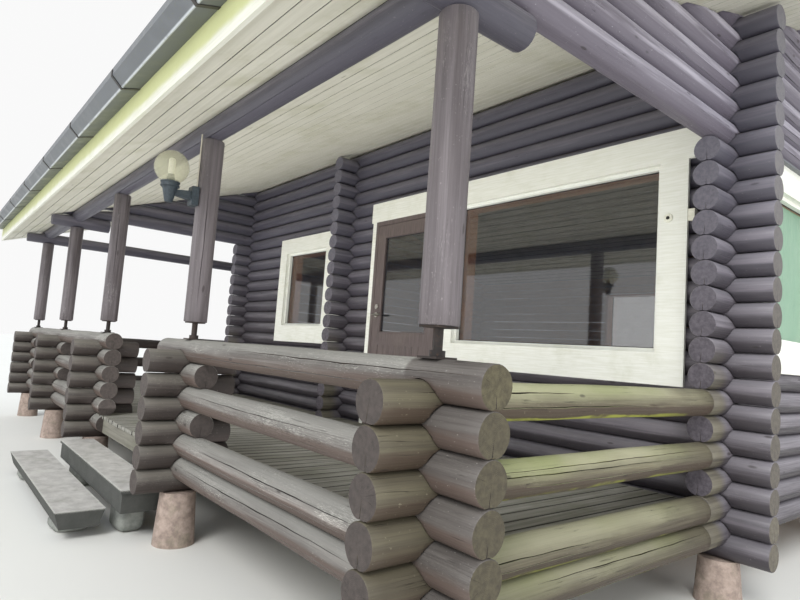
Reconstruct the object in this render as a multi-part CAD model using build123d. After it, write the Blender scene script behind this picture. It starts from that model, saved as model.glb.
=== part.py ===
# Log cabin with a roofed porch along its front and a roofed open bay beside it.
#
# X runs along the front, Y runs from the porch into the house and Z points up.
# The model is laid out from the crossing of the front wall with the right gable wall,
# at ground level, and is moved to its own bottom centre when it is written.
# Logs that run along X lie half a course higher than logs that run along Y, and every log
# is hollowed underneath where it rides over the log that crosses below it.

import os

from build123d import *

# Logs and courses, in millimetres
COURSE = 150
LOG_D = 160
LOG_SIDES = 12
LOG_JOINT = 0.4
HOUSE_END = 290
PORCH_END = 285
TOP_LOG_OVERRUN = 200
BOLSTER_IN = 360
RAIL_TOP = 1305

# Plan of the building
POST_BAYS = (2360, 2270, 2080, 2060)
HOUSE_BAYS = 3
PORCH_DEPTH = 2370
HOUSE_DEPTH = 5100
PARTITION_X = -4050

# Courses counted from the plane of the rail top, negative below it
WALL_BASE_COURSE = -7
FLOOR_COURSE = -5
BEAM_COURSE = 9
BEAM_PLANED = 15

# Posts
POST_SLIMMER = 10
POST_D = LOG_D - POST_SLIMMER
JACK_GAP = 117
JACK_ROD_D = 36
JACK_PLATE = 100
JACK_PLATE_T = 8
JACK_NUT_D = 58
JACK_NUT_H = 22

# Roof
SLOPE = 1 / 3
EAVE_OUT = 525
RAKE_OUT = 600
CEILING_T = 22
ROOF_T = 235
FASCIA_T = 22
FASCIA_DROP = 15
FASCIA_RISE = 15
RIDGE_BEAM_D = LOG_D
RIDGE_SEAT_GAP = 0.3
RIDGE_CAP_T = 12
RIDGE_CAP_W = 170
GUTTER_T = 3
GUTTER_W = 160
GUTTER_H = 101
GUTTER_BACK_H = 71
GUTTER_FOLD = 101
GUTTER_LIP_H = 42
GUTTER_TOP_DROP = 25
BRACKET_W = 25
BRACKET_T = 4
BRACKET_STEP = 1203
BRACKET_FIRST = 345
BRACKET_LIP_DROP = 8
MITRE = 2

# Floors
DECK_T = 28
JOIST_H = 148
JOIST_W = 48
JOIST_STEP = 600
RISER_T = 28
RISER_H = 150
NOTCH_GAP = 2

# Door and windows
FRAME_FACE = 45
FRAME_DEPTH = 120
FRAME_BEAD = 18
TRIM_T = 22
TRIM_JOINT = 0.5
SCRIBE_GAP = 3
PANE_T = 6
DOOR_LEFT = -3495
DOOR_RIGHT = -2445
DOOR_T = 44
DOOR_GAP = 5
DOOR_SILL = 20
DOOR_STILE = 110
DOOR_RAIL = 120
DOOR_GLASS_LOW = 1500
DOOR_GLASS_HIGH = 2515
DOOR_PANEL_T = 24
DOOR_STOP = 15
HINGE_D = 16
HINGE_H = 50
HINGE_OUT = 12
HINGE_GAP = 0.3
HINGE_PLATE_W = 30
HINGE_PLATE_T = 4
HINGE_RISES = (250, 1030, 1810)
HANDLE_HEIGHT = 1690
HANDLE_IN = 55
ROSE_D = 52
ROSE_T = 8
LEVER_D = 20
LEVER_L = 120
LEVER_OUT = 45
LOCK_RISE = 85
BIG_LEFT = -2280
BIG_RIGHT = -360
BIG_LOW = 1417
BIG_HIGH = 2703
SMALL_LEFT = -5465
SMALL_RIGHT = -4460
SMALL_LOW = 1545
SMALL_HIGH = 2530
SIDE_WINDOW_START = 510
SIDE_HIGH = 2610
REAR_WINDOW_CENTRE = -3355
TRIM_W = 150
HEAD_TRIM_H = 170
SILL_TRIM_H = 190
HEAD_BOARD_H = 190
HEAD_HORN = 30
BIG_TRIM_W = 170
DOOR_TRIM_W = 60

# Piers, and steps with how far they lie out from the front rail and in from the posts beside them
PIER_TOP_D = 220
PIER_FOOT_D = 260
STEP_T = 150
STEP_LIP = 25
STEP_LIP_OUT = 12
UPPER_STEP_TOP = 326
UPPER_STEP_OUT = (300, 45)
UPPER_STEP_IN = (132, 145)
LOWER_STEP_TOP = 180
LOWER_STEP_T = 110
LOWER_STEP_OUT = (640, 345)
LOWER_STEP_IN = (-230, 310)
LOWER_STEP_TAPER = 35
STONE_L = 300

# Lamp on the second post
GLOBE_D = 220
GLOBE_T = 3
GLOBE_NECK_D = 100
LAMP_REACH = 255
LAMP_BELOW_BEAM = 243
LAMP_BOX = (80, 45, 125)
LAMP_ARM_D = 26
LAMP_STEM_D = 44
COLLAR_D = 112
COLLAR_H = 32
CABLE_D = 9
CABLE_GAP = 0.3
CABLE_RUN_UP = 30

# Places worked out from the sizes above
LOG_R = LOG_D / 2
POST_X = [-sum(POST_BAYS[:count]) for count in range(len(POST_BAYS) + 1)]
LEFT_X = POST_X[HOUSE_BAYS]
BAY_X = POST_X[-1]
PORCH_Y = -PORCH_DEPTH
EAVE_FRONT = PORCH_Y - EAVE_OUT
EAVE_REAR = HOUSE_DEPTH + EAVE_OUT
RIDGE_Y = (EAVE_FRONT + EAVE_REAR) / 2
ROOF_RIGHT = RAKE_OUT
ROOF_LEFT = BAY_X - RAKE_OUT
DECK_TOP = RAIL_TOP + FLOOR_COURSE * COURSE
UPPER_STEP_X = (POST_X[2] + UPPER_STEP_IN[0], POST_X[1] - UPPER_STEP_IN[1])
UPPER_STEP_Y = (PORCH_Y - UPPER_STEP_OUT[0], PORCH_Y - UPPER_STEP_OUT[1])
LOWER_STEP_X = (POST_X[2] + LOWER_STEP_IN[0], POST_X[1] - LOWER_STEP_IN[1])
LOWER_STEP_Y = (PORCH_Y - LOWER_STEP_OUT[0], PORCH_Y - LOWER_STEP_OUT[1])


def course(number):
    """Height of a course line, counted from the rail top."""
    return RAIL_TOP + number * COURSE


WALL_BASE = course(WALL_BASE_COURSE)
BEAM_Z = course(BEAM_COURSE)
LAMP_HEIGHT = BEAM_Z - LAMP_BELOW_BEAM
WALL_FACE = -LOG_R
SMALL_W = SMALL_RIGHT - SMALL_LEFT
DOOR_HEAD = BIG_HIGH - FRAME_BEAD


def underside(y):
    """Height of the roof's lower face at a distance into the house."""
    run = y if y <= RIDGE_Y else 2 * RIDGE_Y - y
    return BEAM_Z + COURSE - BEAM_PLANED + (run - PORCH_Y) * SLOPE


# The ridge beam lies against both slopes, and walls and gables have the courses that fit below them
RIDGE_AXIS = underside(RIDGE_Y) - RIDGE_SEAT_GAP - RIDGE_BEAM_D / 2 * (1 + SLOPE**2) ** 0.5
FRONT_WALL_COURSES = int((underside(0) - WALL_BASE) / COURSE)
GABLE_COURSES = round((RIDGE_AXIS - BEAM_Z) / COURSE)


def block(x, y, z):
    """A box between the low and high corner values of each axis."""
    size = [abs(high - low) for low, high in (x, y, z)]
    centre = [(low + high) / 2 for low, high in (x, y, z)]
    return Pos(*centre) * Box(*size)


def log_section(height=COURSE - LOG_JOINT):
    """Section of a log: twelve flats, cut level above and below where logs bed."""
    round_form = RegularPolygon(LOG_R, LOG_SIDES, major_radius=False, rotation=180 / LOG_SIDES)
    return round_form & Rectangle(2 * LOG_D, height)


def x_log(x, y, z):
    """A log along X between two ends."""
    plane = Plane((x[0], y, z), x_dir=(0, 1, 0), z_dir=(1, 0, 0))
    return extrude(plane * log_section(), x[1] - x[0])


def y_log(x, y, z):
    """A log along Y between two ends."""
    plane = Plane((x, y[0], z), x_dir=(-1, 0, 0), z_dir=(0, 1, 0))
    return extrude(plane * log_section(), y[1] - y[0])


def notched_x_log(x, y, crossings):
    """An X log on the course line at height zero, notched over the Y logs below it."""
    log = x_log(x, y, COURSE / 2)
    notches = [y_log(crossing, (y - LOG_D, y + LOG_D), 0) for crossing in crossings]
    return log - notches if notches else log


def notched_y_log(x, y, crossings):
    """A Y log centred at height zero, notched over the X logs below it."""
    log = y_log(x, y, 0)
    notches = [x_log((x - LOG_D, x + LOG_D), crossing, -COURSE / 2) for crossing in crossings]
    return log - notches if notches else log


def raised(log, number):
    """A log lifted to its course."""
    return Pos(0, 0, course(number)) * log


def slope_slab(x, y, low, high):
    """A slab that follows one slope, between two heights over the roof's lower face."""
    near, far = y
    corners = [
        (near, underside(near) + low),
        (far, underside(far) + low),
        (far, underside(far) + high),
        (near, underside(near) + high),
    ]
    face = Plane((x[0], 0, 0), x_dir=(0, 1, 0), z_dir=(1, 0, 0)) * Polygon(*corners, align=None)
    return extrude(face, x[1] - x[0])


def attic(x):
    """The space below the roof, from which the gables are trimmed."""
    corners = [
        (EAVE_FRONT, 0),
        (EAVE_REAR, 0),
        (EAVE_REAR, underside(EAVE_REAR)),
        (RIDGE_Y, underside(RIDGE_Y)),
        (EAVE_FRONT, underside(EAVE_FRONT)),
    ]
    face = Plane((x[0], 0, 0), x_dir=(0, 1, 0), z_dir=(1, 0, 0)) * Polygon(*corners, align=None)
    return extrude(face, x[1] - x[0])


def solids(*shapes):
    """All solids of some shapes in one compound."""
    found = []
    for shape in shapes:
        found.extend(shape.solids())
    return Compound(children=[Solid(item.wrapped) for item in found])


# Wall lines, and the rows in which their logs lie
FIRST_LINE = WALL_BASE_COURSE
FIRST_ROW = WALL_BASE_COURSE + 1
FRONT_LINES = range(FIRST_LINE, FIRST_LINE + FRONT_WALL_COURSES)
REAR_LINES = range(FIRST_LINE, BEAM_COURSE + 1)
WALL_ROWS = range(FIRST_ROW, BEAM_COURSE + 1)
GABLE_ROWS = range(BEAM_COURSE + 1, BEAM_COURSE + 1 + GABLE_COURSES)
PARTITION_ROWS = range(FIRST_ROW, FRONT_LINES[-1] + 1)
FRONT_RUN = (LEFT_X - HOUSE_END, HOUSE_END)
SIDE_RUN = (-HOUSE_END, HOUSE_DEPTH + HOUSE_END)
THROUGH = (-LOG_D, LOG_D)


def front_wall():
    """The front wall with its door and windows cut through."""
    cuts = [
        block((DOOR_LEFT, DOOR_RIGHT), THROUGH, (DECK_TOP - DECK_T, DOOR_HEAD)),
        block((BIG_LEFT, BIG_RIGHT), THROUGH, (BIG_LOW, BIG_HIGH)),
        block((SMALL_LEFT, SMALL_RIGHT), THROUGH, (SMALL_LOW, SMALL_HIGH)),
    ]
    sill = notched_x_log(FRONT_RUN, 0, ())
    log = notched_x_log(FRONT_RUN, 0, (0, PARTITION_X, LEFT_X))
    logs = []
    for line in FRONT_LINES:
        placed = raised(sill if line == FIRST_LINE else log, line)
        logs.append(cut_where_needed(placed, cuts, line, line + 1))
    return trimmed(logs)


def cut_where_needed(log, cuts, low, high):
    """Cut a log by the openings that reach between its two course heights."""
    bottom, top = course(low), course(high)
    reached = []
    for cut in cuts:
        box = cut.bounding_box()
        if box.min.Z < top and box.max.Z > bottom:
            reached.append(cut)
    return log - reached if reached else log


def trimmed(logs):
    """Logs in one compound, planed to the roof's slope where they reach it."""
    space = attic((ROOF_LEFT, ROOF_RIGHT))
    kept = []
    for log in logs:
        box = log.bounding_box()
        reach = min(underside(box.min.Y), underside(box.max.Y))
        kept.append(log & space if box.max.Z > reach else log)
    return solids(*kept)


def rear_wall():
    """The rear wall, whose top log runs on to carry the roof of the side bay."""
    y = HOUSE_DEPTH
    window = (REAR_WINDOW_CENTRE - SMALL_W / 2, REAR_WINDOW_CENTRE + SMALL_W / 2)
    cuts = [block(window, (y - LOG_D, y + LOG_D), (SMALL_LOW, SMALL_HIGH))]
    sill = notched_x_log(FRONT_RUN, y, ())
    log = notched_x_log(FRONT_RUN, y, (0, LEFT_X))
    plate = notched_x_log((BAY_X - HOUSE_END, HOUSE_END), y, (0, LEFT_X, BAY_X))
    logs = []
    for line in REAR_LINES:
        chosen = sill if line == FIRST_LINE else log
        if line == REAR_LINES[-1]:
            chosen = plate
        logs.append(cut_where_needed(raised(chosen, line), cuts, line, line + 1))
    return trimmed(logs)


def side_wall(x, cuts=()):
    """A gable wall up to the course of the beams."""
    log = notched_y_log(x, SIDE_RUN, (0, HOUSE_DEPTH))
    logs = []
    for row in WALL_ROWS:
        logs.append(cut_where_needed(raised(log, row), cuts, row - 0.5, row + 0.5))
    return trimmed(logs)


def gable(x):
    """The logs over a gable wall, which run out over the porch to the main beam."""
    run = (EAVE_FRONT, EAVE_REAR)
    plain = notched_y_log(x, run, ())
    beams = {
        PORCH_Y: range(BEAM_COURSE, BEAM_COURSE + 1),
        0: FRONT_LINES,
        HOUSE_DEPTH: REAR_LINES,
    }
    logs = []
    for row in GABLE_ROWS:
        notches = [
            x_log((x - LOG_D, x + LOG_D), y, course(row) - COURSE / 2)
            for y, lines in beams.items()
            if row - 1 in lines
        ]
        log = raised(plain, row)
        logs.append(log - notches if notches else log)
    return solids(*[log - ridge_beam() for log in trimmed(logs).solids()])


def partition_log_ends():
    """Ends of the logs of the cross wall, seated in the front wall."""
    log = notched_y_log(PARTITION_X, (-HOUSE_END, LOG_R), (0,))
    return trimmed([raised(log, row) for row in PARTITION_ROWS])


def ridge_beam():
    """The log under the ridge, from gable to gable and on over the side bay."""
    plane = Plane((ROOF_LEFT, RIDGE_Y, RIDGE_AXIS), x_dir=(0, 1, 0), z_dir=(1, 0, 0))
    return extrude(plane * Circle(RIDGE_BEAM_D / 2), ROOF_RIGHT - ROOF_LEFT)


def main_beam():
    """The long log that carries the eave of the porch."""
    run = (BAY_X - HOUSE_END, HOUSE_END)
    return trimmed([raised(notched_x_log(run, PORCH_Y, (0, LEFT_X, BAY_X)), BEAM_COURSE)])


def cross_beams():
    """Short logs under the main beam, and the long one that ties the side bay."""
    short = (PORCH_Y - PORCH_END, PORCH_Y + BOLSTER_IN)
    tie = (PORCH_Y - PORCH_END, HOUSE_DEPTH + HOUSE_END)
    logs = [y_log(0, short, BEAM_Z), y_log(LEFT_X, short, BEAM_Z), y_log(BAY_X, tie, BEAM_Z)]
    return trimmed(logs)


def round_post(x, y, low, high, diameter=POST_D):
    """A round post between two heights."""
    return Pos(x, y, low) * Cylinder(diameter / 2, high - low, align=(Align.CENTER, Align.CENTER, Align.MIN))


def posts():
    """Porch posts on their jacks, and the posts of the side bay."""
    foot = RAIL_TOP + JACK_GAP
    seat = BEAM_Z - (COURSE - LOG_JOINT) / 2
    made = []
    for place, x in enumerate(POST_X):
        top = BEAM_Z + LOG_JOINT / 2 if place in (1, 2) else seat
        made.append(round_post(x, PORCH_Y, foot, top))
    for y in (RIDGE_Y, HOUSE_DEPTH):
        made.append(round_post(BAY_X, y, COURSE, seat))
    tie_top = BEAM_Z + (COURSE - LOG_JOINT) / 2
    king = round_post(BAY_X, RIDGE_Y, tie_top, RIDGE_AXIS)
    made.append(king - ridge_beam())
    return solids(*made)


def post_jacks():
    """Screw jacks that let the posts follow the settling of the logs."""
    low = RAIL_TOP - LOG_JOINT / 2
    high = RAIL_TOP + JACK_GAP
    plate = Box(JACK_PLATE, JACK_PLATE, JACK_PLATE_T, align=(Align.CENTER, Align.CENTER, Align.MIN))
    nut = Cylinder(JACK_NUT_D / 2, JACK_NUT_H, align=(Align.CENTER, Align.CENTER, Align.MIN))
    made = []
    for x in POST_X:
        rod = round_post(x, PORCH_Y, low, high, JACK_ROD_D)
        foot = Pos(x, PORCH_Y, low) * plate
        head = Pos(x, PORCH_Y, high - JACK_PLATE_T) * plate
        collar = Pos(x, PORCH_Y, low + JACK_PLATE_T) * nut
        made.append(rod + foot + head + collar)
    return solids(*made)


# Rails of the porch: which of the six courses hold a long log and which only short ends
RAIL_LONG = (-1, -3, -5, -6)
RAIL_SHORT = (-2, -4)
RAIL_ROWS = range(-6, 0)


def x_rail(x, y, crossings, top_overrun=0):
    """Long rail logs along X with short ends between them at each crossing."""
    log = notched_x_log(x, y, crossings)
    top = notched_x_log((x[0] - top_overrun, x[1]), y, crossings)
    logs = [raised(top if line == RAIL_LONG[0] else log, line) for line in RAIL_LONG]
    for crossing in crossings:
        short = notched_x_log((crossing - PORCH_END, crossing + PORCH_END), y, (crossing,))
        logs.extend(raised(short, line) for line in RAIL_SHORT)
    return solids(*logs)


def y_rail(x, y, crossings):
    """Long rail logs along Y with short ends between them at each crossing."""
    log = notched_y_log(x, y, crossings)
    sill = notched_y_log(x, y, ())
    logs = [raised(sill if row == RAIL_ROWS[0] else log, row) for row in RAIL_LONG]
    for crossing in crossings:
        short = notched_y_log(x, (crossing - PORCH_END, crossing + PORCH_END), (crossing,))
        logs.extend(raised(short, row) for row in RAIL_SHORT)
    return solids(*logs)


def wing(x):
    """Short logs across the porch front that hold the ends of the rails at one post."""
    run = (PORCH_Y - PORCH_END, PORCH_Y + PORCH_END)
    log = notched_y_log(x, run, (PORCH_Y,))
    sill = notched_y_log(x, run, ())
    return [raised(sill if row == RAIL_ROWS[0] else log, row) for row in RAIL_ROWS]


def rails():
    """Rails round the porch, left open where the steps come up."""
    right_run = (POST_X[1] - PORCH_END, PORCH_END)
    left_run = (BAY_X - PORCH_END, POST_X[2] + PORCH_END)
    front_right = x_rail(right_run, PORCH_Y, (POST_X[1], 0), TOP_LOG_OVERRUN)
    front_left = x_rail(left_run, PORCH_Y, (BAY_X, LEFT_X, POST_X[2]))
    side_start = PORCH_Y - PORCH_END
    wings = [log for x in POST_X[1:-1] for log in wing(x)]
    return {
        "front_rails": solids(front_right, front_left),
        "side_rail_right": y_rail(0, (side_start, -HOUSE_END - LOG_JOINT), (PORCH_Y,)),
        "side_rail_left": y_rail(BAY_X, (side_start, PORCH_END), (PORCH_Y, 0)),
        "back_rail": x_rail((BAY_X - PORCH_END, LEFT_X - HOUSE_END - LOG_JOINT), 0, (BAY_X,)),
        "rail_wings": solids(*wings),
    }


def deck():
    """Porch deck, notched round the logs that pass it, with its riser at the steps."""
    low = DECK_TOP - DECK_T
    inner = PORCH_Y + LOG_R
    slab = block((BAY_X + LOG_R, -LOG_R), (inner, WALL_FACE), (low, DECK_TOP))
    step_bay = (POST_X[2] + PORCH_END, POST_X[1] - PORCH_END)
    slab += block(step_bay, (PORCH_Y, inner), (low, DECK_TOP))
    slab += block(step_bay, (PORCH_Y - RISER_T, PORCH_Y), (DECK_TOP - RISER_H, DECK_TOP))
    half = LOG_R + NOTCH_GAP
    height = (0, RAIL_TOP)
    log_front = PORCH_Y + PORCH_END + NOTCH_GAP
    for x in POST_X:
        slab -= block((x - half, x + half), (PORCH_Y - LOG_D, log_front), height)
    for x in (0, PARTITION_X, LEFT_X):
        slab -= block((x - half, x + half), (-HOUSE_END - NOTCH_GAP, 0), height)
    slab -= block((BAY_X - half, BAY_X + half), (-PORCH_END - NOTCH_GAP, 0), height)
    return slab


def joist_grid(x, y, top):
    """Joists along Y between two rim joists, in one bay."""
    z = (top - JOIST_H, top)
    count = max(1, round((x[1] - x[0]) / JOIST_STEP))
    step = (x[1] - x[0] - JOIST_W) / count
    inner = (y[0] + JOIST_W + LOG_JOINT, y[1] - JOIST_W - LOG_JOINT)
    rims = [block(x, (y[0], y[0] + JOIST_W), z), block(x, (y[1] - JOIST_W, y[1]), z)]
    starts = [x[0] + place * step for place in range(count + 1)]
    return rims + [block((start, start + JOIST_W), inner, z) for start in starts]


def floor_frames():
    """Joists under the deck, bay by bay, and under the floor of the house."""
    top = DECK_TOP - DECK_T
    breaks = sorted((*POST_X, PARTITION_X))
    made = []
    for left, right in zip(breaks, breaks[1:]):
        made.extend(joist_grid((left + LOG_R, right - LOG_R), (PORCH_Y + LOG_R, WALL_FACE), top))
    made.extend(joist_grid((LEFT_X + LOG_R, -LOG_R), (LOG_R, HOUSE_DEPTH - LOG_R), top))
    return solids(*made)


def house_floor():
    """Boarded floor inside the walls."""
    return block((LEFT_X + LOG_R, -LOG_R), (LOG_R, HOUSE_DEPTH - LOG_R), (DECK_TOP - DECK_T, DECK_TOP))


def pier(x, y, top):
    """A tapered round concrete pier."""
    foot = Plane((x, y, 0)) * Circle(PIER_FOOT_D / 2)
    head = Plane((x, y, top)) * Circle(PIER_TOP_D / 2)
    return loft([foot, head])


def piers():
    """Concrete piers under the logs and the posts."""
    made = []
    for x in POST_X:
        made.append(pier(x, PORCH_Y, WALL_BASE + COURSE / 2))
    for x in POST_X[: HOUSE_BAYS + 1]:
        for y in (0, HOUSE_DEPTH):
            made.append(pier(x, y, WALL_BASE))
    for x in (0, LEFT_X):
        made.append(pier(x, HOUSE_DEPTH / 2, WALL_BASE + COURSE / 2))
    made.append(pier(BAY_X, 0, WALL_BASE + COURSE / 2))
    for y in (RIDGE_Y, HOUSE_DEPTH):
        made.append(pier(BAY_X, y, COURSE))
    return solids(*made)


def steps():
    """Two cast steps on stones."""
    x, y = UPPER_STEP_X, UPPER_STEP_Y
    upper = block(x, y, (UPPER_STEP_TOP - STEP_T, UPPER_STEP_TOP))
    lip = (UPPER_STEP_TOP - STEP_LIP, UPPER_STEP_TOP)
    upper += block((x[0] - STEP_LIP_OUT, x[1] + STEP_LIP_OUT), (y[0] - STEP_LIP_OUT, y[1]), lip)
    x, y = LOWER_STEP_X, LOWER_STEP_Y
    middle = (y[0] + y[1]) / 2
    half = (y[1] - y[0]) / 2
    corners = [
        (LOWER_STEP_TAPER - half, LOWER_STEP_TOP - LOWER_STEP_T),
        (half - LOWER_STEP_TAPER, LOWER_STEP_TOP - LOWER_STEP_T),
        (half, LOWER_STEP_TOP),
        (-half, LOWER_STEP_TOP),
    ]
    face = Plane((x[0], middle, 0), x_dir=(0, 1, 0), z_dir=(1, 0, 0)) * Polygon(*corners, align=None)
    lower = extrude(face, x[1] - x[0])
    stones = []
    for step_x, step_y, top in (
        (UPPER_STEP_X, UPPER_STEP_Y, UPPER_STEP_TOP - STEP_T),
        (LOWER_STEP_X, LOWER_STEP_Y, LOWER_STEP_TOP - LOWER_STEP_T),
    ):
        for end in (step_x[0] + STONE_L, step_x[1] - STONE_L):
            low_y = step_y[0] + LOWER_STEP_TAPER
            high_y = step_y[1] - LOWER_STEP_TAPER
            stones.append(block((end - STONE_L / 2, end + STONE_L / 2), (low_y, high_y), (0, top)))
    return {"upper_step": upper, "lower_step": lower, "step_stones": solids(*stones)}


def roof():
    """Ceiling boards, roof slabs, ridge cap, fascias, rake boards and gutters."""
    run = (ROOF_LEFT, ROOF_RIGHT)
    top = CEILING_T + ROOF_T
    front = (EAVE_FRONT, RIDGE_Y)
    rear = (RIDGE_Y, EAVE_REAR)
    low = -FASCIA_DROP
    high = top + FASCIA_RISE
    rakes = []
    for x in ((ROOF_RIGHT, ROOF_RIGHT + FASCIA_T), (ROOF_LEFT - FASCIA_T, ROOF_LEFT)):
        rakes.append(slope_slab(x, (EAVE_FRONT, RIDGE_Y - MITRE / 2), low, high))
        rakes.append(slope_slab(x, (RIDGE_Y + MITRE / 2, EAVE_REAR), low, high))
    fascias = []
    eave = underside(EAVE_FRONT)
    for y in ((EAVE_FRONT - FASCIA_T, EAVE_FRONT), (EAVE_REAR, EAVE_REAR + FASCIA_T)):
        fascias.append(block((ROOF_LEFT - FASCIA_T, ROOF_RIGHT + FASCIA_T), y, (eave + low, eave + top)))
    ridge = underside(RIDGE_Y) + top
    drop = RIDGE_CAP_W * SLOPE
    corners = [
        (RIDGE_Y - RIDGE_CAP_W, ridge - drop),
        (RIDGE_Y, ridge),
        (RIDGE_Y + RIDGE_CAP_W, ridge - drop),
        (RIDGE_Y + RIDGE_CAP_W, ridge - drop + RIDGE_CAP_T),
        (RIDGE_Y, ridge + RIDGE_CAP_T),
        (RIDGE_Y - RIDGE_CAP_W, ridge - drop + RIDGE_CAP_T),
    ]
    face = Plane((ROOF_LEFT, 0, 0), x_dir=(0, 1, 0), z_dir=(1, 0, 0)) * Polygon(*corners, align=None)
    return {
        "ceiling_boards_front": slope_slab(run, front, 0, CEILING_T),
        "ceiling_boards_rear": slope_slab(run, rear, 0, CEILING_T),
        "roof_front": slope_slab(run, front, CEILING_T, top),
        "roof_rear": slope_slab(run, rear, CEILING_T, top),
        "ridge_cap": extrude(face, ROOF_RIGHT - ROOF_LEFT),
        "rake_boards": solids(*rakes),
        "fascias": solids(*fascias),
    }


def gutter_outline():
    """Section of a folded gutter, outward along -Y from the fascia."""
    top = underside(EAVE_FRONT) + CEILING_T + ROOF_T - GUTTER_TOP_DROP
    return [
        (0, top),
        (0, top - GUTTER_BACK_H),
        (-GUTTER_FOLD, top - GUTTER_H),
        (-GUTTER_W, top - GUTTER_LIP_H),
        (-GUTTER_W, top),
    ]


def gutters():
    """Folded gutters along both eaves with their strap brackets."""
    face_y = EAVE_FRONT - FASCIA_T
    outline = gutter_outline()
    plane = Plane((ROOF_LEFT, face_y, 0), x_dir=(0, 1, 0), z_dir=(1, 0, 0))
    outer = make_face(Polyline(*outline, close=True))
    room = offset(outer, -GUTTER_T)
    top = outline[0][1]
    mouth = Rectangle(GUTTER_W - 2 * GUTTER_T, 2 * GUTTER_T)
    room += Pos(-GUTTER_W / 2, top) * mouth
    trough = extrude(plane * (outer - room), ROOF_RIGHT - ROOF_LEFT)
    strap_outer = offset(outer, BRACKET_T)
    behind = Pos(GUTTER_W, top) * Rectangle(2 * GUTTER_W, 3 * GUTTER_H)
    above = Pos(0, top + GUTTER_H / 2 - BRACKET_LIP_DROP) * Rectangle(3 * GUTTER_W, GUTTER_H)
    strap_face = strap_outer - outer - behind - above
    first = ROOF_RIGHT - BRACKET_FIRST - BRACKET_W
    straps = []
    for place in range(int((first - ROOF_LEFT) / BRACKET_STEP) + 1):
        x = first - place * BRACKET_STEP
        strap_plane = Plane((x, face_y, 0), x_dir=(0, 1, 0), z_dir=(1, 0, 0))
        straps.append(extrude(strap_plane * strap_face, BRACKET_W))
    mirror_plane = Plane((0, RIDGE_Y, 0), x_dir=(1, 0, 0), z_dir=(0, 1, 0))
    rear_straps = [mirror(strap, mirror_plane) for strap in straps]
    return {
        "gutters": solids(trough, mirror(trough, mirror_plane)),
        "gutter_brackets": solids(*straps, *rear_straps),
    }


def window_frame(x, z):
    """A stepped frame in the front wall's opening, facing -Y."""
    face = Rectangle(x[1] - x[0], z[1] - z[0])
    inner = Rectangle(x[1] - x[0] - 2 * FRAME_FACE, z[1] - z[0] - 2 * FRAME_FACE)
    bead = Rectangle(x[1] - x[0] - 2 * FRAME_BEAD, z[1] - z[0] - 2 * FRAME_BEAD)
    centre = ((x[0] + x[1]) / 2, WALL_FACE, (z[0] + z[1]) / 2)
    plane = Plane(centre, x_dir=(1, 0, 0), z_dir=(0, -1, 0))
    body = extrude(plane * (face - inner), -FRAME_DEPTH)
    return body - extrude(plane * bead, -FRAME_BEAD)


def window_pane(x, z):
    """One sheet of glass set back in a frame."""
    back = WALL_FACE + FRAME_DEPTH / 2
    inner_x = (x[0] + FRAME_FACE, x[1] - FRAME_FACE)
    inner_z = (z[0] + FRAME_FACE, z[1] - FRAME_FACE)
    return block(inner_x, (back - PANE_T / 2, back + PANE_T / 2), inner_z)


def window_trim(x, z, left=TRIM_W, right=TRIM_W):
    """Casing boards round one window: two sides, a head and a deeper sill board."""
    lap = FRAME_BEAD
    plane_y = (WALL_FACE - TRIM_T, WALL_FACE)
    outer = block((x[0] - left, x[1] + right), plane_y, (z[0] - SILL_TRIM_H, z[1] + HEAD_TRIM_H))
    return outer - block((x[0] + lap, x[1] - lap), (-LOG_D, LOG_D), (z[0] + lap, z[1] - lap))


def to_side(shape):
    """Turn a window made for the front wall round to the right gable wall."""
    return Pos(0, SIDE_WINDOW_START, 0) * Rot(0, 0, 90) * Pos(-SMALL_LEFT, 0, 0) * shape


def to_rear(shape):
    """Turn a window made for the front wall round to the rear wall."""
    centre = (SMALL_LEFT + SMALL_RIGHT) / 2
    return Pos(REAR_WINDOW_CENTRE, HOUSE_DEPTH, 0) * Rot(0, 0, 180) * Pos(-centre, 0, 0) * shape


def scribes(x, rows):
    """Room round the log ends that casing boards are cut to."""
    made = []
    for row in rows:
        plane = Plane((x, -HOUSE_END, course(row)), x_dir=(-1, 0, 0), z_dir=(0, 1, 0))
        made.append(extrude(plane * Circle(LOG_R + SCRIBE_GAP), HOUSE_END))
    return made


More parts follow.
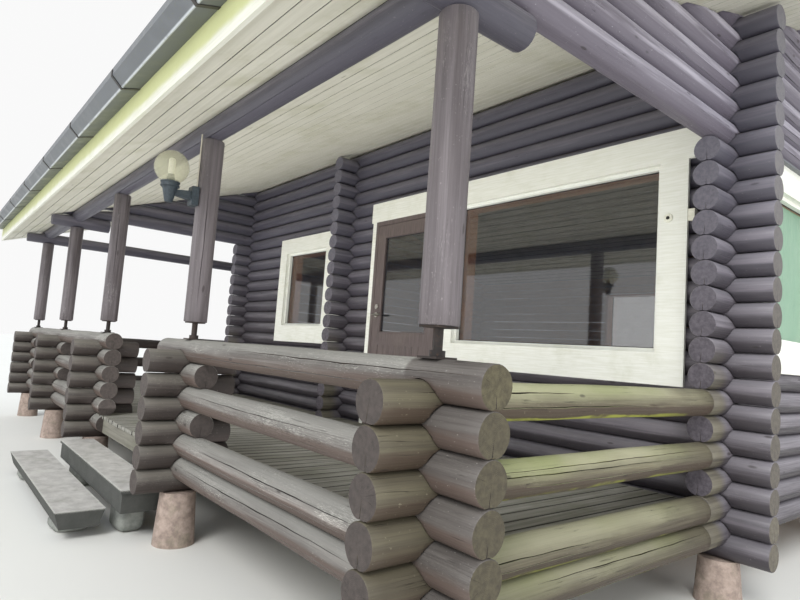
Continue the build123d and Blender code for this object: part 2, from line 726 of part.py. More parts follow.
def windows():
    """Frames, panes and casings of all windows."""
    big_x, big_z = (BIG_LEFT, BIG_RIGHT), (BIG_LOW, BIG_HIGH)
    small_x, small_z = (SMALL_LEFT, SMALL_RIGHT), (SMALL_LOW, SMALL_HIGH)
    side_z = (SMALL_LOW, SIDE_HIGH)
    boards_y = (WALL_FACE - TRIM_T, WALL_FACE)
    head_end = DOOR_LEFT - DOOR_TRIM_W - HEAD_HORN
    head = block((head_end, -LOG_R / 2), boards_y, (DOOR_HEAD, BIG_HIGH + HEAD_BOARD_H))
    head -= scribes(0, range(BEAM_COURSE, BEAM_COURSE + 3))
    big_trim = window_trim(big_x, big_z, BIG_LEFT - DOOR_RIGHT, BIG_TRIM_W)
    big_trim -= block((DOOR_LEFT, 0), THROUGH, (DOOR_HEAD - TRIM_JOINT, BIG_HIGH + HEAD_BOARD_H))
    door_trim = block((DOOR_LEFT - DOOR_TRIM_W, DOOR_LEFT), boards_y, (DECK_TOP, DOOR_HEAD - TRIM_JOINT))
    plain_trim = window_trim(small_x, small_z)
    small_trim = window_trim(small_x, small_z, TRIM_W, PARTITION_X - SMALL_RIGHT)
    small_trim -= scribes(PARTITION_X, range(0, BEAM_COURSE + 1))
    small_frame = window_frame(small_x, small_z)
    small_pane = window_pane(small_x, small_z)
    side_trim = to_side(window_trim(small_x, side_z))
    side_frame = to_side(window_frame(small_x, side_z))
    side_pane = to_side(window_pane(small_x, side_z))
    trims = [head, big_trim, door_trim, small_trim, side_trim, to_rear(plain_trim)]
    frames = [window_frame(big_x, big_z), small_frame, side_frame, to_rear(small_frame)]
    panes = [window_pane(big_x, big_z), small_pane, side_pane, to_rear(small_pane)]
    return {
        "window_trims": solids(*trims),
        "window_frames": solids(*frames),
        "window_panes": solids(*panes),
    }


# The door leaf, flush with the casing boards
LEAF_FACE = WALL_FACE - TRIM_T
LEAF_X = (DOOR_LEFT + FRAME_FACE + DOOR_GAP, DOOR_RIGHT - FRAME_FACE - DOOR_GAP)
LEAF_Z = (DECK_TOP + DOOR_SILL + DOOR_GAP, DOOR_HEAD - FRAME_FACE - DOOR_GAP)
LEAF_Y = (LEAF_FACE, LEAF_FACE + DOOR_T)
HINGE_X = LEAF_X[1] + DOOR_GAP / 2
HINGE_Y = LEAF_FACE - HINGE_OUT


def door_frame():
    """Jambs, head and threshold with a rebate stop behind the leaf."""
    depth = (LEAF_FACE, LEAF_FACE + FRAME_DEPTH)
    frame = block((DOOR_LEFT, DOOR_RIGHT), depth, (DECK_TOP, DOOR_HEAD))
    inner_x = (DOOR_LEFT + FRAME_FACE, DOOR_RIGHT - FRAME_FACE)
    inner_z = (DECK_TOP + DOOR_SILL, DOOR_HEAD - FRAME_FACE)
    frame -= block(inner_x, (depth[0], LEAF_Y[1] + DOOR_GAP), inner_z)
    stop_x = (inner_x[0] + DOOR_STOP, inner_x[1] - DOOR_STOP)
    frame -= block(stop_x, depth, (inner_z[0], inner_z[1] - DOOR_STOP))
    return frame


def door_leaf():
    """Stiles and rails round the glass, with a boarded panel below."""
    leaf = block(LEAF_X, LEAF_Y, LEAF_Z)
    inner_x = (LEAF_X[0] + DOOR_STILE, LEAF_X[1] - DOOR_STILE)
    leaf -= block(inner_x, (LEAF_Y[0] - 1, LEAF_Y[1] + 1), (DOOR_GLASS_LOW, DOOR_GLASS_HIGH))
    panel_z = (LEAF_Z[0] + DOOR_RAIL, DOOR_GLASS_LOW - DOOR_RAIL)
    recess = (DOOR_T - DOOR_PANEL_T) / 2
    leaf -= block(inner_x, (LEAF_Y[0] - 1, LEAF_Y[0] + recess), panel_z)
    leaf -= block(inner_x, (LEAF_Y[1] - recess, LEAF_Y[1] + 1), panel_z)
    return leaf


def door_glass():
    """The pane in the upper part of the leaf."""
    inner_x = (LEAF_X[0] + DOOR_STILE, LEAF_X[1] - DOOR_STILE)
    middle = (LEAF_Y[0] + LEAF_Y[1]) / 2
    return block(inner_x, (middle - PANE_T / 2, middle + PANE_T / 2), (DOOR_GLASS_LOW, DOOR_GLASS_HIGH))


def door_handles():
    """A lever on a rose and a lock rose above it, on both faces of the leaf."""
    x = LEAF_X[0] + HANDLE_IN
    outer = LEAF_Y[0]
    facing = Plane((x, outer, HANDLE_HEIGHT), x_dir=(1, 0, 0), z_dir=(0, -1, 0))
    rose = extrude(facing * Circle(ROSE_D / 2), ROSE_T)
    neck = extrude(facing * Circle(LEVER_D / 2), LEVER_OUT)
    start = (x - LEVER_D / 2, outer - LEVER_OUT, HANDLE_HEIGHT)
    lever = extrude(Plane(start, x_dir=(0, 1, 0), z_dir=(1, 0, 0)) * Circle(LEVER_D / 2), LEVER_L)
    outside = [rose + neck + lever, Pos(0, 0, LOCK_RISE) * rose]
    across = Plane((0, (LEAF_Y[0] + LEAF_Y[1]) / 2, 0), x_dir=(1, 0, 0), z_dir=(0, 1, 0))
    inside = [mirror(piece, across) for piece in outside]
    return solids(*outside, *inside)


def hinge_half(side, low, high):
    """One knuckle of a hinge with its plate on the face of the leaf or the jamb."""
    knuckle = round_post(HINGE_X, HINGE_Y, low, high, HINGE_D)
    plate_x = sorted((HINGE_X, HINGE_X + side * HINGE_PLATE_W))
    neck_x = sorted((HINGE_X, HINGE_X + side * HINGE_D / 2))
    plate = block(plate_x, (LEAF_FACE - HINGE_PLATE_T, LEAF_FACE), (low, high))
    neck = block(neck_x, (HINGE_Y, LEAF_FACE), (low, high))
    return knuckle + neck + plate


def hinges():
    """Lift-off hinges: barrels on the leaf over pins on the frame."""
    barrels = []
    pins = []
    for rise in HINGE_RISES:
        low = DECK_TOP + rise
        middle = low + HINGE_H
        barrels.append(hinge_half(-1, middle + HINGE_GAP, middle + HINGE_H))
        pins.append(hinge_half(1, low, middle))
    return {"hinge_barrels": solids(*barrels), "hinge_pins": solids(*pins)}


def lamp():
    """Globe lamp on an arm from the second post, with its cable up the post."""
    x = POST_X[1]
    face = PORCH_Y - POST_D / 2
    centre_y = PORCH_Y - LAMP_REACH
    box_top = LAMP_HEIGHT - ((GLOBE_D / 2) ** 2 - (GLOBE_NECK_D / 2) ** 2) ** 0.5
    box_w, box_d, box_h = LAMP_BOX
    post = round_post(x, PORCH_Y, 0, BEAM_Z)
    box = block((x - box_w / 2, x + box_w / 2), (face - box_d, face), (box_top - box_h, box_top))
    box -= post
    arm_z = box_top - box_h / 2
    arm_plane = Plane((x, centre_y, arm_z), x_dir=(-1, 0, 0), z_dir=(0, 1, 0))
    arm = extrude(arm_plane * Circle(LAMP_ARM_D / 2), face - box_d - centre_y)
    stem = round_post(x, centre_y, box_top - box_h, box_top - COLLAR_H, LAMP_STEM_D)
    collar = round_post(x, centre_y, box_top - COLLAR_H, box_top, COLLAR_D)
    room = block((x - GLOBE_D, x + GLOBE_D), (centre_y - GLOBE_D, centre_y + GLOBE_D), (0, box_top))
    globe = Pos(x, centre_y, LAMP_HEIGHT) * (Sphere(GLOBE_D / 2) - Sphere(GLOBE_D / 2 - GLOBE_T)) - room
    cable_y = face - CABLE_D / 2 - CABLE_GAP
    return {
        "lamp_bracket": box + arm + stem + collar,
        "lamp_globe": globe,
        "lamp_cable": round_post(x, cable_y, box_top, BEAM_Z + CABLE_RUN_UP, CABLE_D),
    }


def model():
    """Every sub-part by its name."""
    parts = {}
    side_window = (SIDE_WINDOW_START, SIDE_WINDOW_START + SMALL_W)
    parts["front_wall"] = front_wall()
    parts["rear_wall"] = rear_wall()
    parts["right_wall"] = side_wall(0, [block(THROUGH, side_window, (SMALL_LOW, SIDE_HIGH))])
    parts["left_wall"] = side_wall(LEFT_X)
    parts["right_gable"] = gable(0)
    parts["left_gable"] = gable(LEFT_X)
    parts["partition_log_ends"] = partition_log_ends()
    parts["ridge_beam"] = ridge_beam()
    parts["main_beam"] = main_beam()
    parts["cross_beams"] = cross_beams()
    parts["posts"] = posts()
    parts["post_jacks"] = post_jacks()
    parts.update(rails())
    parts["deck_boards"] = deck()
    parts["floor_frames"] = floor_frames()
    parts["house_floor"] = house_floor()
    parts["piers"] = piers()
    parts.update(steps())
    parts.update(roof())
    parts.update(gutters())
    parts.update(windows())
    parts["door_frame"] = door_frame()
    parts["door_leaf"] = door_leaf()
    parts["door_glass"] = door_glass()
    parts["door_handles"] = door_handles()
    parts.update(hinges())
    parts.update(lamp())
    return parts


ORIGIN_X = (ROOF_LEFT + ROOF_RIGHT) / 2
ORIGIN_Y = RIDGE_Y

os.makedirs("parts", exist_ok=True)
for name, shape in model().items():
    export_step(shape.moved(Location((-ORIGIN_X, -ORIGIN_Y, 0))), f"parts/{name}.step")
print("origin offset", -ORIGIN_X, -ORIGIN_Y)
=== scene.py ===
import math
import random

import bpy
import numpy as np
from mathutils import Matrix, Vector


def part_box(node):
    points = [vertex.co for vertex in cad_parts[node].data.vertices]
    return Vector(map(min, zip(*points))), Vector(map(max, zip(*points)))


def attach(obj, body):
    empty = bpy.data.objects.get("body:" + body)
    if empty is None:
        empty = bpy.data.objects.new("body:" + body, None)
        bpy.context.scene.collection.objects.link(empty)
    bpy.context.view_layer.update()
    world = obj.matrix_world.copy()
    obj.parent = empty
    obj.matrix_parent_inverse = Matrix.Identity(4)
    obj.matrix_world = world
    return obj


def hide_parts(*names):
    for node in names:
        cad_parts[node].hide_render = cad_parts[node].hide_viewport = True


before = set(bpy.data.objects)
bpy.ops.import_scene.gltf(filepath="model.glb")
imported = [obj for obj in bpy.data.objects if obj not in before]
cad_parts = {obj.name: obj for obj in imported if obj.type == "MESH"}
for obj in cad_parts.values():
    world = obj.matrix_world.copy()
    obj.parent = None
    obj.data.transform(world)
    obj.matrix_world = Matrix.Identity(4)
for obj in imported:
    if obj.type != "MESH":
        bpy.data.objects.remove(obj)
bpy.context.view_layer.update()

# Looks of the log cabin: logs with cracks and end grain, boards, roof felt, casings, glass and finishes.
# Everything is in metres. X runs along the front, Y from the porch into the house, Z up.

# Logs: those along X lie half a course off those along Y
LOG_R = 0.0793
LOG_HALF = 0.08
COURSE = 0.15
HALF_COURSE = COURSE / 2
X_LOG_FIRST = 0.33
Y_LOG_FIRST = 0.255
LOG_OVERHANG = 0.287
SEAM = 0.0012
ROUND = 0.002
END_BEVEL = 0.004
NOTCH_RINGS = 5
RING_GAP = 3e-4
CUT_EDGE = 2e-4
CAP_RINGS = (0.74, 0.42)
LOG_WOBBLE = 0.002
RAIL_WOBBLE = 0.0032
POST_WOBBLE = 0.0012
LOG_CREASE = 38
LONG_LOG = 1.0

# Cracks: width and depth of each kind, and where they run
LOG_CRACK = (0.003, 0.016)
POST_CRACK = (0.0018, 0.016)
END_CRACK = (0.0018, 0.014)
POST_CRACK_ANGLES = (-2.4, -0.3, 2.2)
CRACK_CLOSED = 0.006
CRACK_IN_END = 0.014
CRACK_WANDER = 0.04
END_CRACK_RUN = 0.07

# Sides and ring step of the turned timbers, and the start of each random run
POST_DETAIL = (32, 0.09)
RIDGE_DETAIL = (24, 0.4)
SEEDS = {"logs": 11, "posts": 5, "ridge": 2.0, "deck": 3, "floor": 8, "ceiling": 21}

# Boards of deck, floor and ceiling
DECK_BOARD = 0.095
DECK_GAP = 0.007
DECK_T = 0.028
DECK_CHAMFER = 0.003
DECK_UNEVEN = 0.0008
BOARD_ENDS = (-0.014, 0.006)
STRIP_MIN = 0.004
RISER_SETBACK = 0.012
RISER_INSET = 0.205
RISER_TONE = 0.4
FLOOR_BOARD = 0.12
FLOOR_GAP = 0.001
FLOOR_CHAMFER = 0.0015
CEILING_BOARD = 0.12
CEILING_T = 0.022
CEILING_GAP = 0.0024
CEILING_CHAMFER = 0.0025
BUTT_GAP = 0.0008

# Roof covering and gutter
ROOF_SLOPE = 1 / 3
FELT_T = 0.004
FELT_OVER_EAVE = 0.03
FELT_OVER_RAKE = 0.015
BATTENS = 11
BATTEN_W = 0.05
BATTEN_H = 0.03
BATTEN_INSET = 0.03
BATTEN_TOP = 0.17
GUTTER_FOLD = 4.383
EAVE_BAND = 0.055

# Windows and door
FRAME_FACE = 0.0452
BAR_CHAMFER = 0.001
LINING_INSET = 0.02
LINING_FACE = 0.029
LINING_DEPTH = 0.09
BEAD_DEPTH = 0.005
BEAD_FACE = 0.004
GASKET_DEPTHS = (0.008, 0.0035)
GASKET_FACE = 0.006
BLIND_INSET = 0.05
BLIND_DEPTHS = (0.01, 0.014)
FRONT_WINDOW_REACH = 0.3
CLEAR_PANE_FROM = 4.27
DOOR_STILE = 0.11
DOOR_RAIL = 0.12
DOOR_BOARDS = 8
DOOR_BOARD_GAP = 0.0012
DOOR_BOARD_DEPTHS = (0.004, 0.0105)
DOOR_GROOVE = 0.004
DOOR_TONE_STEP = 0.37
DOOR_BEAD = 0.018
DOOR_BEAD_OUT = 0.004

# Lamp: radius, and height over the globe's foot, of each turned part
LAMP_HOLDER = ((0.024, -0.004), (0.024, 0.035), (0.019, 0.04), (0.019, 0.052))
LAMP_BULB = (
    (0.016, 0.052), (0.02, 0.06), (0.022, 0.075), (0.022, 0.14), (0.019, 0.152), (0.011, 0.16),
    (0.002, 0.162),
)
LAMP_COLLAR = (
    ((0.023, -0.132), (0.028, -0.12), (0.044, -0.05), (0.05, -0.034)),
    ((0.056, -0.034), (0.06, -0.03), (0.06, -0.024), (0.057, -0.02)),
    ((0.057, -0.01), (0.061, -0.006), (0.061, 0.0), (0.052, 0.002)),
)
ARM_HEIGHT = -0.0625
ARM_END = (0.022, 0.015, 0.017)
ARM_ROOT = (0.024, 0.03)
ARM_PLATE = 0.045

# Covers beside the large window, and the stones under the steps
COVER_CENTRE = (4.073, 2.31)
COVER_DISK = (
    (0.001, -0.009), (0.012, -0.01), (0.013, -0.008), (0.02, -0.0085), (0.027, -0.006), (0.03, 0.0),
)
COVER_SLOT = ((0.008, -0.0115), (0.0115, -0.0115), (0.0115, -0.009), (0.008, -0.009))
BOX_X = (4.199, 4.24)
BOX_Y = (-0.024, 0.012)
BOX_Z = (2.277, 2.353)
STONE_GRID = (16, 28)
STONE_BLUNT = 0.45
STONE_CREASE = 60
TRIM_CREASE = 40
DRIP_SECTION = ((-0.02, 0.0), (0.03, 0.0), (0.032, 0.01), (-0.02, 0.03))
DRIP_OVERHANG = 0.02

# The photograph's view
CAMERA_PLACE = (5.912, -5.165, 1.319)
CAMERA_TURN = (95.07, -4.05, 50.48)
CAMERA_LENS = 26.5
CAMERA_SENSOR = 36
CAMERA_FAR = 300

# Colours and heights that several finishes share
MOSS = "a3a842"
GREEN_DUST = "8d9462"
# Painted shade inside the cut cracks
CRACK_SHADE = "17110f"
# Heights over which the painted bluish haze rises towards the roof
EAVES_HAZE = (1.2, 3.0)
GRAIN_TONES = (0.3, 0.7)


def colour(code):
    """Linear colour of a six-digit colour code."""
    parts = [int(code[place:place + 2], 16) / 255 for place in (0, 2, 4)]
    linear = [part / 12.92 if part <= 0.04045 else ((part + 0.055) / 1.055) ** 2.4 for part in parts]
    return (*linear, 1.0)


def scales(axis, along, across):
    """Three scales, of which one runs along an axis."""
    return tuple(along if index == axis else across for index in range(3))


# Materials

class Finish:
    """One procedural material, built node by node. Colours are given as codes or as sockets."""

    def __init__(self, name, roughness=0.6, **settings):
        self.material = bpy.data.materials.new(name)
        self.material.use_nodes = True
        self.tree = self.material.node_tree
        self.surface = self.tree.nodes["Principled BSDF"]
        self.surface.inputs["Roughness"].default_value = roughness
        for key, value in settings.items():
            self.surface.inputs[key].default_value = value

    def feed(self, socket, value):
        """Link a socket or set its value."""
        if isinstance(value, bpy.types.NodeSocket):
            self.tree.links.new(value, socket)
        else:
            socket.default_value = colour(value) if isinstance(value, str) else value

    def node(self, kind, *values, **settings):
        """A node with its settings, and with its first sockets fed."""
        made = self.tree.nodes.new("ShaderNode" + kind)
        for key, value in settings.items():
            setattr(made, key, value)
        for socket, value in zip(made.inputs, values):
            self.feed(socket, value)
        return made

    def attribute(self, name, output="Fac"):
        return self.node("Attribute", attribute_name=name).outputs[output]

    def place(self):
        """Position in the cabin's own frame."""
        return self.node("TexCoord").outputs["Object"]

    def axis_of(self, vector, axis):
        return self.node("SeparateXYZ", vector).outputs[axis]

    def at(self, axis):
        """Position along one axis of the cabin."""
        return self.axis_of(self.place(), axis)

    def facing(self, axis="Z"):
        """How far a surface faces along an axis, from -1 to 1."""
        return self.axis_of(self.node("NewGeometry").outputs["Normal"], axis)

    def stretch(self, vector, scale):
        return self.node("VectorMath", vector, scale, operation="MULTIPLY").outputs[0]

    def noise(self, vector, scale=1.0, detail=4.0, roughness=0.55, distortion=0.0, output="Fac"):
        """Cloudy noise. Three scales stretch it along the axes."""
        if isinstance(scale, tuple):
            vector = self.stretch(vector, scale)
            scale = 1.0
        made = self.node("TexNoise", vector)
        made.inputs["Scale"].default_value = scale
        made.inputs["Detail"].default_value = detail
        made.inputs["Roughness"].default_value = roughness
        made.inputs["Distortion"].default_value = distortion
        return made.outputs[output]

    def warped(self, vector, scale, reach):
        """A vector pushed about by a coloured noise, so that even patterns turn ragged."""
        push = self.noise(vector, scale, detail=2.0, roughness=0.5, output="Color")
        moved = self.node("VectorMath", push, (reach, reach, reach), vector, operation="MULTIPLY_ADD")
        return moved.outputs[0]

    def cells(self, vector, scale):
        """Distance to the nearest of scattered points."""
        made = self.node("TexVoronoi", self.stretch(vector, scale))
        made.inputs["Scale"].default_value = 1.0
        return made.outputs["Distance"]

    def math(self, operation, first, second=0.0):
        return self.node("Math", first, second, operation=operation).outputs[0]

    def times(self, first, *others):
        """Product of several values."""
        for other in others:
            first = self.math("MULTIPLY", first, other)
        return first

    def plus(self, first, second, share):
        """A value and a share of another."""
        return self.math("ADD", first, self.times(second, share))

    def between(self, value, low, high, to_low=0.0, to_high=1.0):
        """A value brought from one range to another and held inside it."""
        made = self.node("MapRange", value, low, high, to_low, to_high, interpolation_type="SMOOTHSTEP")
        return made.outputs["Result"]

    def near(self, value, target, inner, outer):
        """1 where a value is near a target, falling to 0."""
        away = self.math("ABSOLUTE", self.math("SUBTRACT", value, target))
        return self.between(away, inner, outer, 1.0, 0.0)

    def mix(self, share, first, second):
        made = self.node("Mix", share, data_type="RGBA")
        self.feed(made.inputs[6], first)
        self.feed(made.inputs[7], second)
        return made.outputs[2]

    def bump(self, height, distance, strength, base=None):
        """A normal shaped by a height, over the normal before it."""
        made = self.node("Bump")
        made.inputs["Strength"].default_value = strength
        made.inputs["Distance"].default_value = distance
        self.feed(made.inputs["Height"], height)
        if base is not None:
            self.feed(made.inputs["Normal"], base)
        return made.outputs["Normal"]

    def finish(self, **looks):
        """The material, with its looks fed to the sockets of those names."""
        for key, value in looks.items():
            self.feed(self.surface.inputs[key.replace("_", " ")], value)
        return self.material


def stained_log(name, dark, light, bare, top_dust_and_highlight, under="", worn=0.0, dust=0.25, crack=0.5, inside="",
                moss=0.0, roughness=0.6, bleached="", eaves="", low=0.0, greened=False):
    """Old stain on a round log: streaks, flakes down to grey wood, dust on top that also paints the highlight
    of light from above, an underside darkened partly in its own colour and partly as painted shade, and moss
    along the lower edge.

    bleached says where weather has worn the stain: "outside" the porch line, along "X" as far as the corner
    rail, or along "Y" from the corner post towards the house; where it is not worn the stain is darkened, as
    painted shade for those parts. eaves is the colour of a painted bluish haze towards the roof, low how much
    painted shade darkens it near the ground, and greened says that the dust turns green in patches towards
    the porch's right side."""
    wood = Finish(name, roughness)
    grain = wood.attribute("grain", "Vector")
    up = wood.facing()
    here = 1.0
    if bleached == "outside":
        here = wood.between(wood.at("Y"), PORCH_LINE + 0.06, PORCH_LINE + 0.1, 1.0, 0.1)
    elif bleached == "X":
        here = wood.between(wood.at("X"), RAIL_CORNER - 0.1, RAIL_CORNER - 0.07, 1.0, 0.15)
    elif bleached == "Y":
        along = wood.at("Y")
        ragged = wood.plus(along, wood.noise(grain, 3.0), 0.5)
        here = wood.times(wood.between(along, PORCH_LINE + 0.07, PORCH_LINE + 0.09),
                          wood.between(ragged, HOUSE_FRONT - 0.75, HOUSE_FRONT - 0.05, 1.0, 0.12))
    streak = wood.noise(grain, (1.3, 28, 28), detail=6, roughness=0.6)
    lines = wood.noise(grain, (3.0, 170, 170), roughness=0.6)
    fine = wood.noise(grain, (38, 430, 430), roughness=0.6)
    patch = wood.noise(grain, (2.2, 7, 7), roughness=0.6)
    speck = wood.noise(grain, (70, 110, 110), detail=3, roughness=0.6)
    body = wood.mix(wood.between(streak, 0.3, 0.72), dark, light)
    body = wood.mix(wood.between(wood.attribute("tone"), 0.0, 1.0, 0.0, 0.3), body, light)
    body = wood.mix(wood.between(lines, 0.5, 0.72, 0.0, 0.25 + 0.4 * worn), body, dark)
    field = wood.plus(wood.times(fine, 0.6), patch, 0.5)
    edge = 0.69 - 0.09 * worn
    flake = wood.times(wood.between(field, edge, edge + 0.03), min(0.75, 0.2 + worn), here)
    body = wood.mix(flake, body, bare)
    # Painted highlight: tops facing up take the dust colour, which also stands for the light from above.
    lit_top = wood.between(wood.plus(up, patch, 0.8), 0.2, 1.4)
    if greened:
        damp = wood.times(wood.between(wood.at("X"), RAIL_CORNER - 0.9, RAIL_CORNER - 0.5),
                          wood.between(wood.noise(grain, 0.9, detail=6), 0.4, 0.7))
        top_dust_and_highlight = wood.mix(damp, top_dust_and_highlight, GREEN_DUST)
    body = wood.mix(wood.times(lit_top, dust, here), body, top_dust_and_highlight)
    # Painted shade: where the stain is not weathered it is darkened towards the dark stain.
    if bleached:
        kept_stain_and_shade = 0.8 if bleached == "outside" else 0.5
        body = wood.mix(wood.between(here, 0.0, 1.0, kept_stain_and_shade, 0.0), body, dark)
    # Painted shade: the underside takes the under colour, partly its own colour and partly the shade below
    # the log.
    if under:
        body = wood.mix(wood.between(wood.plus(up, streak, 0.9), 0.1, 0.6, 0.9, 0.0), body, under)
    if moss:
        strip = wood.between(wood.plus(up, patch, 0.7), -0.42, -0.3, 1.0, 0.0)
        growth = wood.between(wood.noise(grain, 3.0, detail=6), 0.42, 0.56)
        body = wood.mix(wood.times(strip, wood.between(up, -1.0, -0.9), growth, here, moss), body, MOSS)
    body = wood.mix(wood.between(speck, 0.66, 0.74, 0.0, 0.55), body, bare)
    knot = wood.cells(wood.warped(grain, 9.0, 0.02), (3.2, 9, 9))
    body = wood.mix(wood.between(knot, 0.05, 0.1, 0.65, 0.0), body, "2b2422")
    hair = wood.noise(grain, (0.8, 58, 58), detail=2, roughness=0.4, distortion=0.25)
    slit = wood.times(wood.near(hair, 0.5, 0.0, 0.008), wood.between(patch, 0.5, 0.58))
    body = wood.mix(wood.times(slit, crack), body, "231c1a")
    # Painted shade: the walls of the cut cracks are darkened to near black.
    body = wood.mix(wood.between(wood.attribute("crack"), 0.12, 0.6), body, CRACK_SHADE)
    height = wood.at("Z")
    # Painted shade: darker towards the ground.
    if low:
        body = wood.mix(wood.between(height, 0.3, 1.1, low, 0.0), body, dark)
    # Painted haze: a bluish tint rising towards the roof.
    if eaves:
        body = wood.mix(wood.between(height, *EAVES_HAZE, 0.0, 0.3), body, eaves)
    if inside:
        shade = wood.between(streak, *GRAIN_TONES)
        low_end = wood.times(wood.between(height, 1.1, 1.6, 0.9, 0.0),
                             wood.between(wood.at("Y"), HOUSE_FRONT - 0.2, HOUSE_FRONT - 0.09, 1.0, 0.0))
        body = wood.mix(low_end, body, wood.mix(shade, "4a453b", "6d6858"))
        body = wood.mix(wood.attribute("inner"), body, wood.mix(shade, inside, "c79a63"))
    normal = wood.bump(lines, 0.0012, 0.35 + 0.3 * worn)
    normal = wood.bump(slit, -0.004, crack, normal)
    normal = wood.bump(flake, -0.0007, 0.6, normal)
    normal = wood.bump(speck, 0.001, 0.25, normal)
    rough = wood.between(lines, *GRAIN_TONES, roughness - 0.1, roughness + 0.15)
    return wood.finish(Base_Color=body, Roughness=rough, Normal=normal)


def end_grain(name, dark, light, side_dark, side_light, eaves=""):
    """Painted sawn end of a log: faint rings, a few checks, an olive painted shade where it faces along X
    near the porch's right side, and a painted highlight where it faces -X.
    """
    wood = Finish(name, roughness=0.7)
    grain = wood.attribute("grain", "Vector")
    tone = wood.attribute("tone")
    warp = wood.noise(grain, (3, 14, 14), detail=3)
    section = wood.stretch(grain, (0.0, 1.0, 1.0))
    length = wood.node("VectorMath", section, operation="LENGTH").outputs["Value"]
    radius = wood.plus(length, warp, 0.011)
    rings = wood.math("SINE", wood.times(radius, 1150.0))
    turn = wood.math("ARCTAN2", wood.axis_of(grain, "Z"), wood.axis_of(grain, "Y"))
    spokes = (wood.times(turn, 3.2), wood.times(tone, 17.0), wood.times(radius, 9.0))
    round_heart = wood.node("CombineXYZ", *spokes).outputs[0]
    check = wood.noise(round_heart, 2.2, detail=2, roughness=0.4)
    slit = wood.times(wood.near(check, 0.5, 0.0, 0.009), wood.between(radius, 0.02, 0.045),
                      wood.between(warp, 0.5, 0.56))
    mottled = wood.noise(grain, (1, 42, 42), detail=6, roughness=0.7)
    blot = wood.between(mottled, *GRAIN_TONES)
    # Painted shade: ends facing along X near the porch's right side take an olive tone for the greenish shade
    # there.
    along_x = wood.times(wood.between(wood.math("ABSOLUTE", wood.facing("X")), 0.5, 0.8),
                         wood.between(wood.at("X"), RAIL_CORNER - 0.6, RAIL_CORNER - 0.3))
    body = wood.mix(along_x, wood.mix(blot, dark, light), wood.mix(blot, side_dark, side_light))
    # Painted highlight: ends facing -X are lightened.
    body = wood.mix(wood.between(wood.facing("X"), -0.9, -0.6, 0.75, 0.0), body, "aaa39b")
    body = wood.mix(wood.between(tone, 0.0, 1.0, 0.0, 0.3), body, dark)
    # Painted haze: a pale bluish tint towards the roof.
    if eaves:
        body = wood.mix(wood.between(wood.at("Z"), *EAVES_HAZE, 0.0, 0.4), body, eaves)
    body = wood.mix(wood.between(rings, -1.0, 1.0, 0.0, 0.12), body, dark)
    body = wood.mix(wood.times(slit, 0.6), body, "2a2420")
    # Painted shade: the walls of the cut checks are darkened to near black.
    body = wood.mix(wood.between(wood.attribute("crack"), 0.12, 0.5), body, CRACK_SHADE)
    normal = wood.bump(rings, 0.0005, 0.4)
    normal = wood.bump(slit, -0.003, 0.5, normal)
    normal = wood.bump(mottled, 0.0015, 0.4, normal)
    return wood.finish(Base_Color=body, Normal=normal)


def board_wood(name, dark, light, along, dirt="", dirt_share=0.4, roughness=0.6, shaded_sides=False):
    """Sawn or painted board: grain along one axis, a tone of its own, and sides shaded by the next board."""
    wood = Finish(name, roughness)
    place = wood.place()
    streak = wood.noise(place, scales(along, 1.6, 38.0), detail=5, roughness=0.6)
    fine = wood.noise(place, scales(along, 8.0, 230.0))
    knot = wood.cells(place, scales(along, 1.7, 6.0))
    body = wood.mix(wood.between(streak, *GRAIN_TONES), dark, light)
    body = wood.mix(wood.between(wood.attribute("tone"), 0.0, 1.0, 0.0, 0.35), body, dark)
    body = wood.mix(wood.between(knot, 0.03, 0.06, 0.45, 0.0), body, "5b4a38")
    if dirt:
        cloud = wood.noise(place, 3.1, detail=6, roughness=0.62)
        body = wood.mix(wood.times(wood.between(cloud, 0.45, 0.75), dirt_share), body, dirt)
    if shaded_sides:
        steep_shade = wood.math("ABSOLUTE", wood.facing("X" if along == 1 else "Y"))
        body = wood.mix(wood.between(steep_shade, 0.45, 0.8, 0.0, 0.92), body, "171512")
    rough = wood.between(fine, *GRAIN_TONES, roughness - 0.08, roughness + 0.12)
    return wood.finish(Base_Color=body, Roughness=rough, Normal=wood.bump(fine, 0.0008, 0.4))


def painted(name, base, worn, dirt, dirt_share=0.3, roughness=0.45, grain_axis=0, above=0.0, tint=""):
    """Painted timber: brush marks along the board, dirt in patches, and a tint above a height."""
    coat = Finish(name, roughness)
    place = coat.place()
    brush = coat.noise(place, scales(grain_axis, 5.0, 90.0))
    cloud = coat.noise(place, 4.5, detail=7, roughness=0.66)
    fleck = coat.noise(place, 60.0, detail=3, roughness=0.7)
    body = coat.mix(coat.between(brush, 0.3, 0.72), base, worn)
    body = coat.mix(coat.times(coat.between(cloud, 0.5, 0.78), dirt_share), body, dirt)
    body = coat.mix(coat.between(fleck, 0.7, 0.74, 0.0, 0.5), body, "8b8378")
    if tint:
        height = coat.plus(coat.at("Z"), cloud, 0.04)
        body = coat.mix(coat.between(height, above, above + 0.05, 0.0, 0.85), body, tint)
    rough = coat.between(cloud, 0.3, 0.7, roughness - 0.1, roughness + 0.15)
    return coat.finish(Base_Color=body, Roughness=rough, Normal=coat.bump(brush, 0.0006, 0.35))


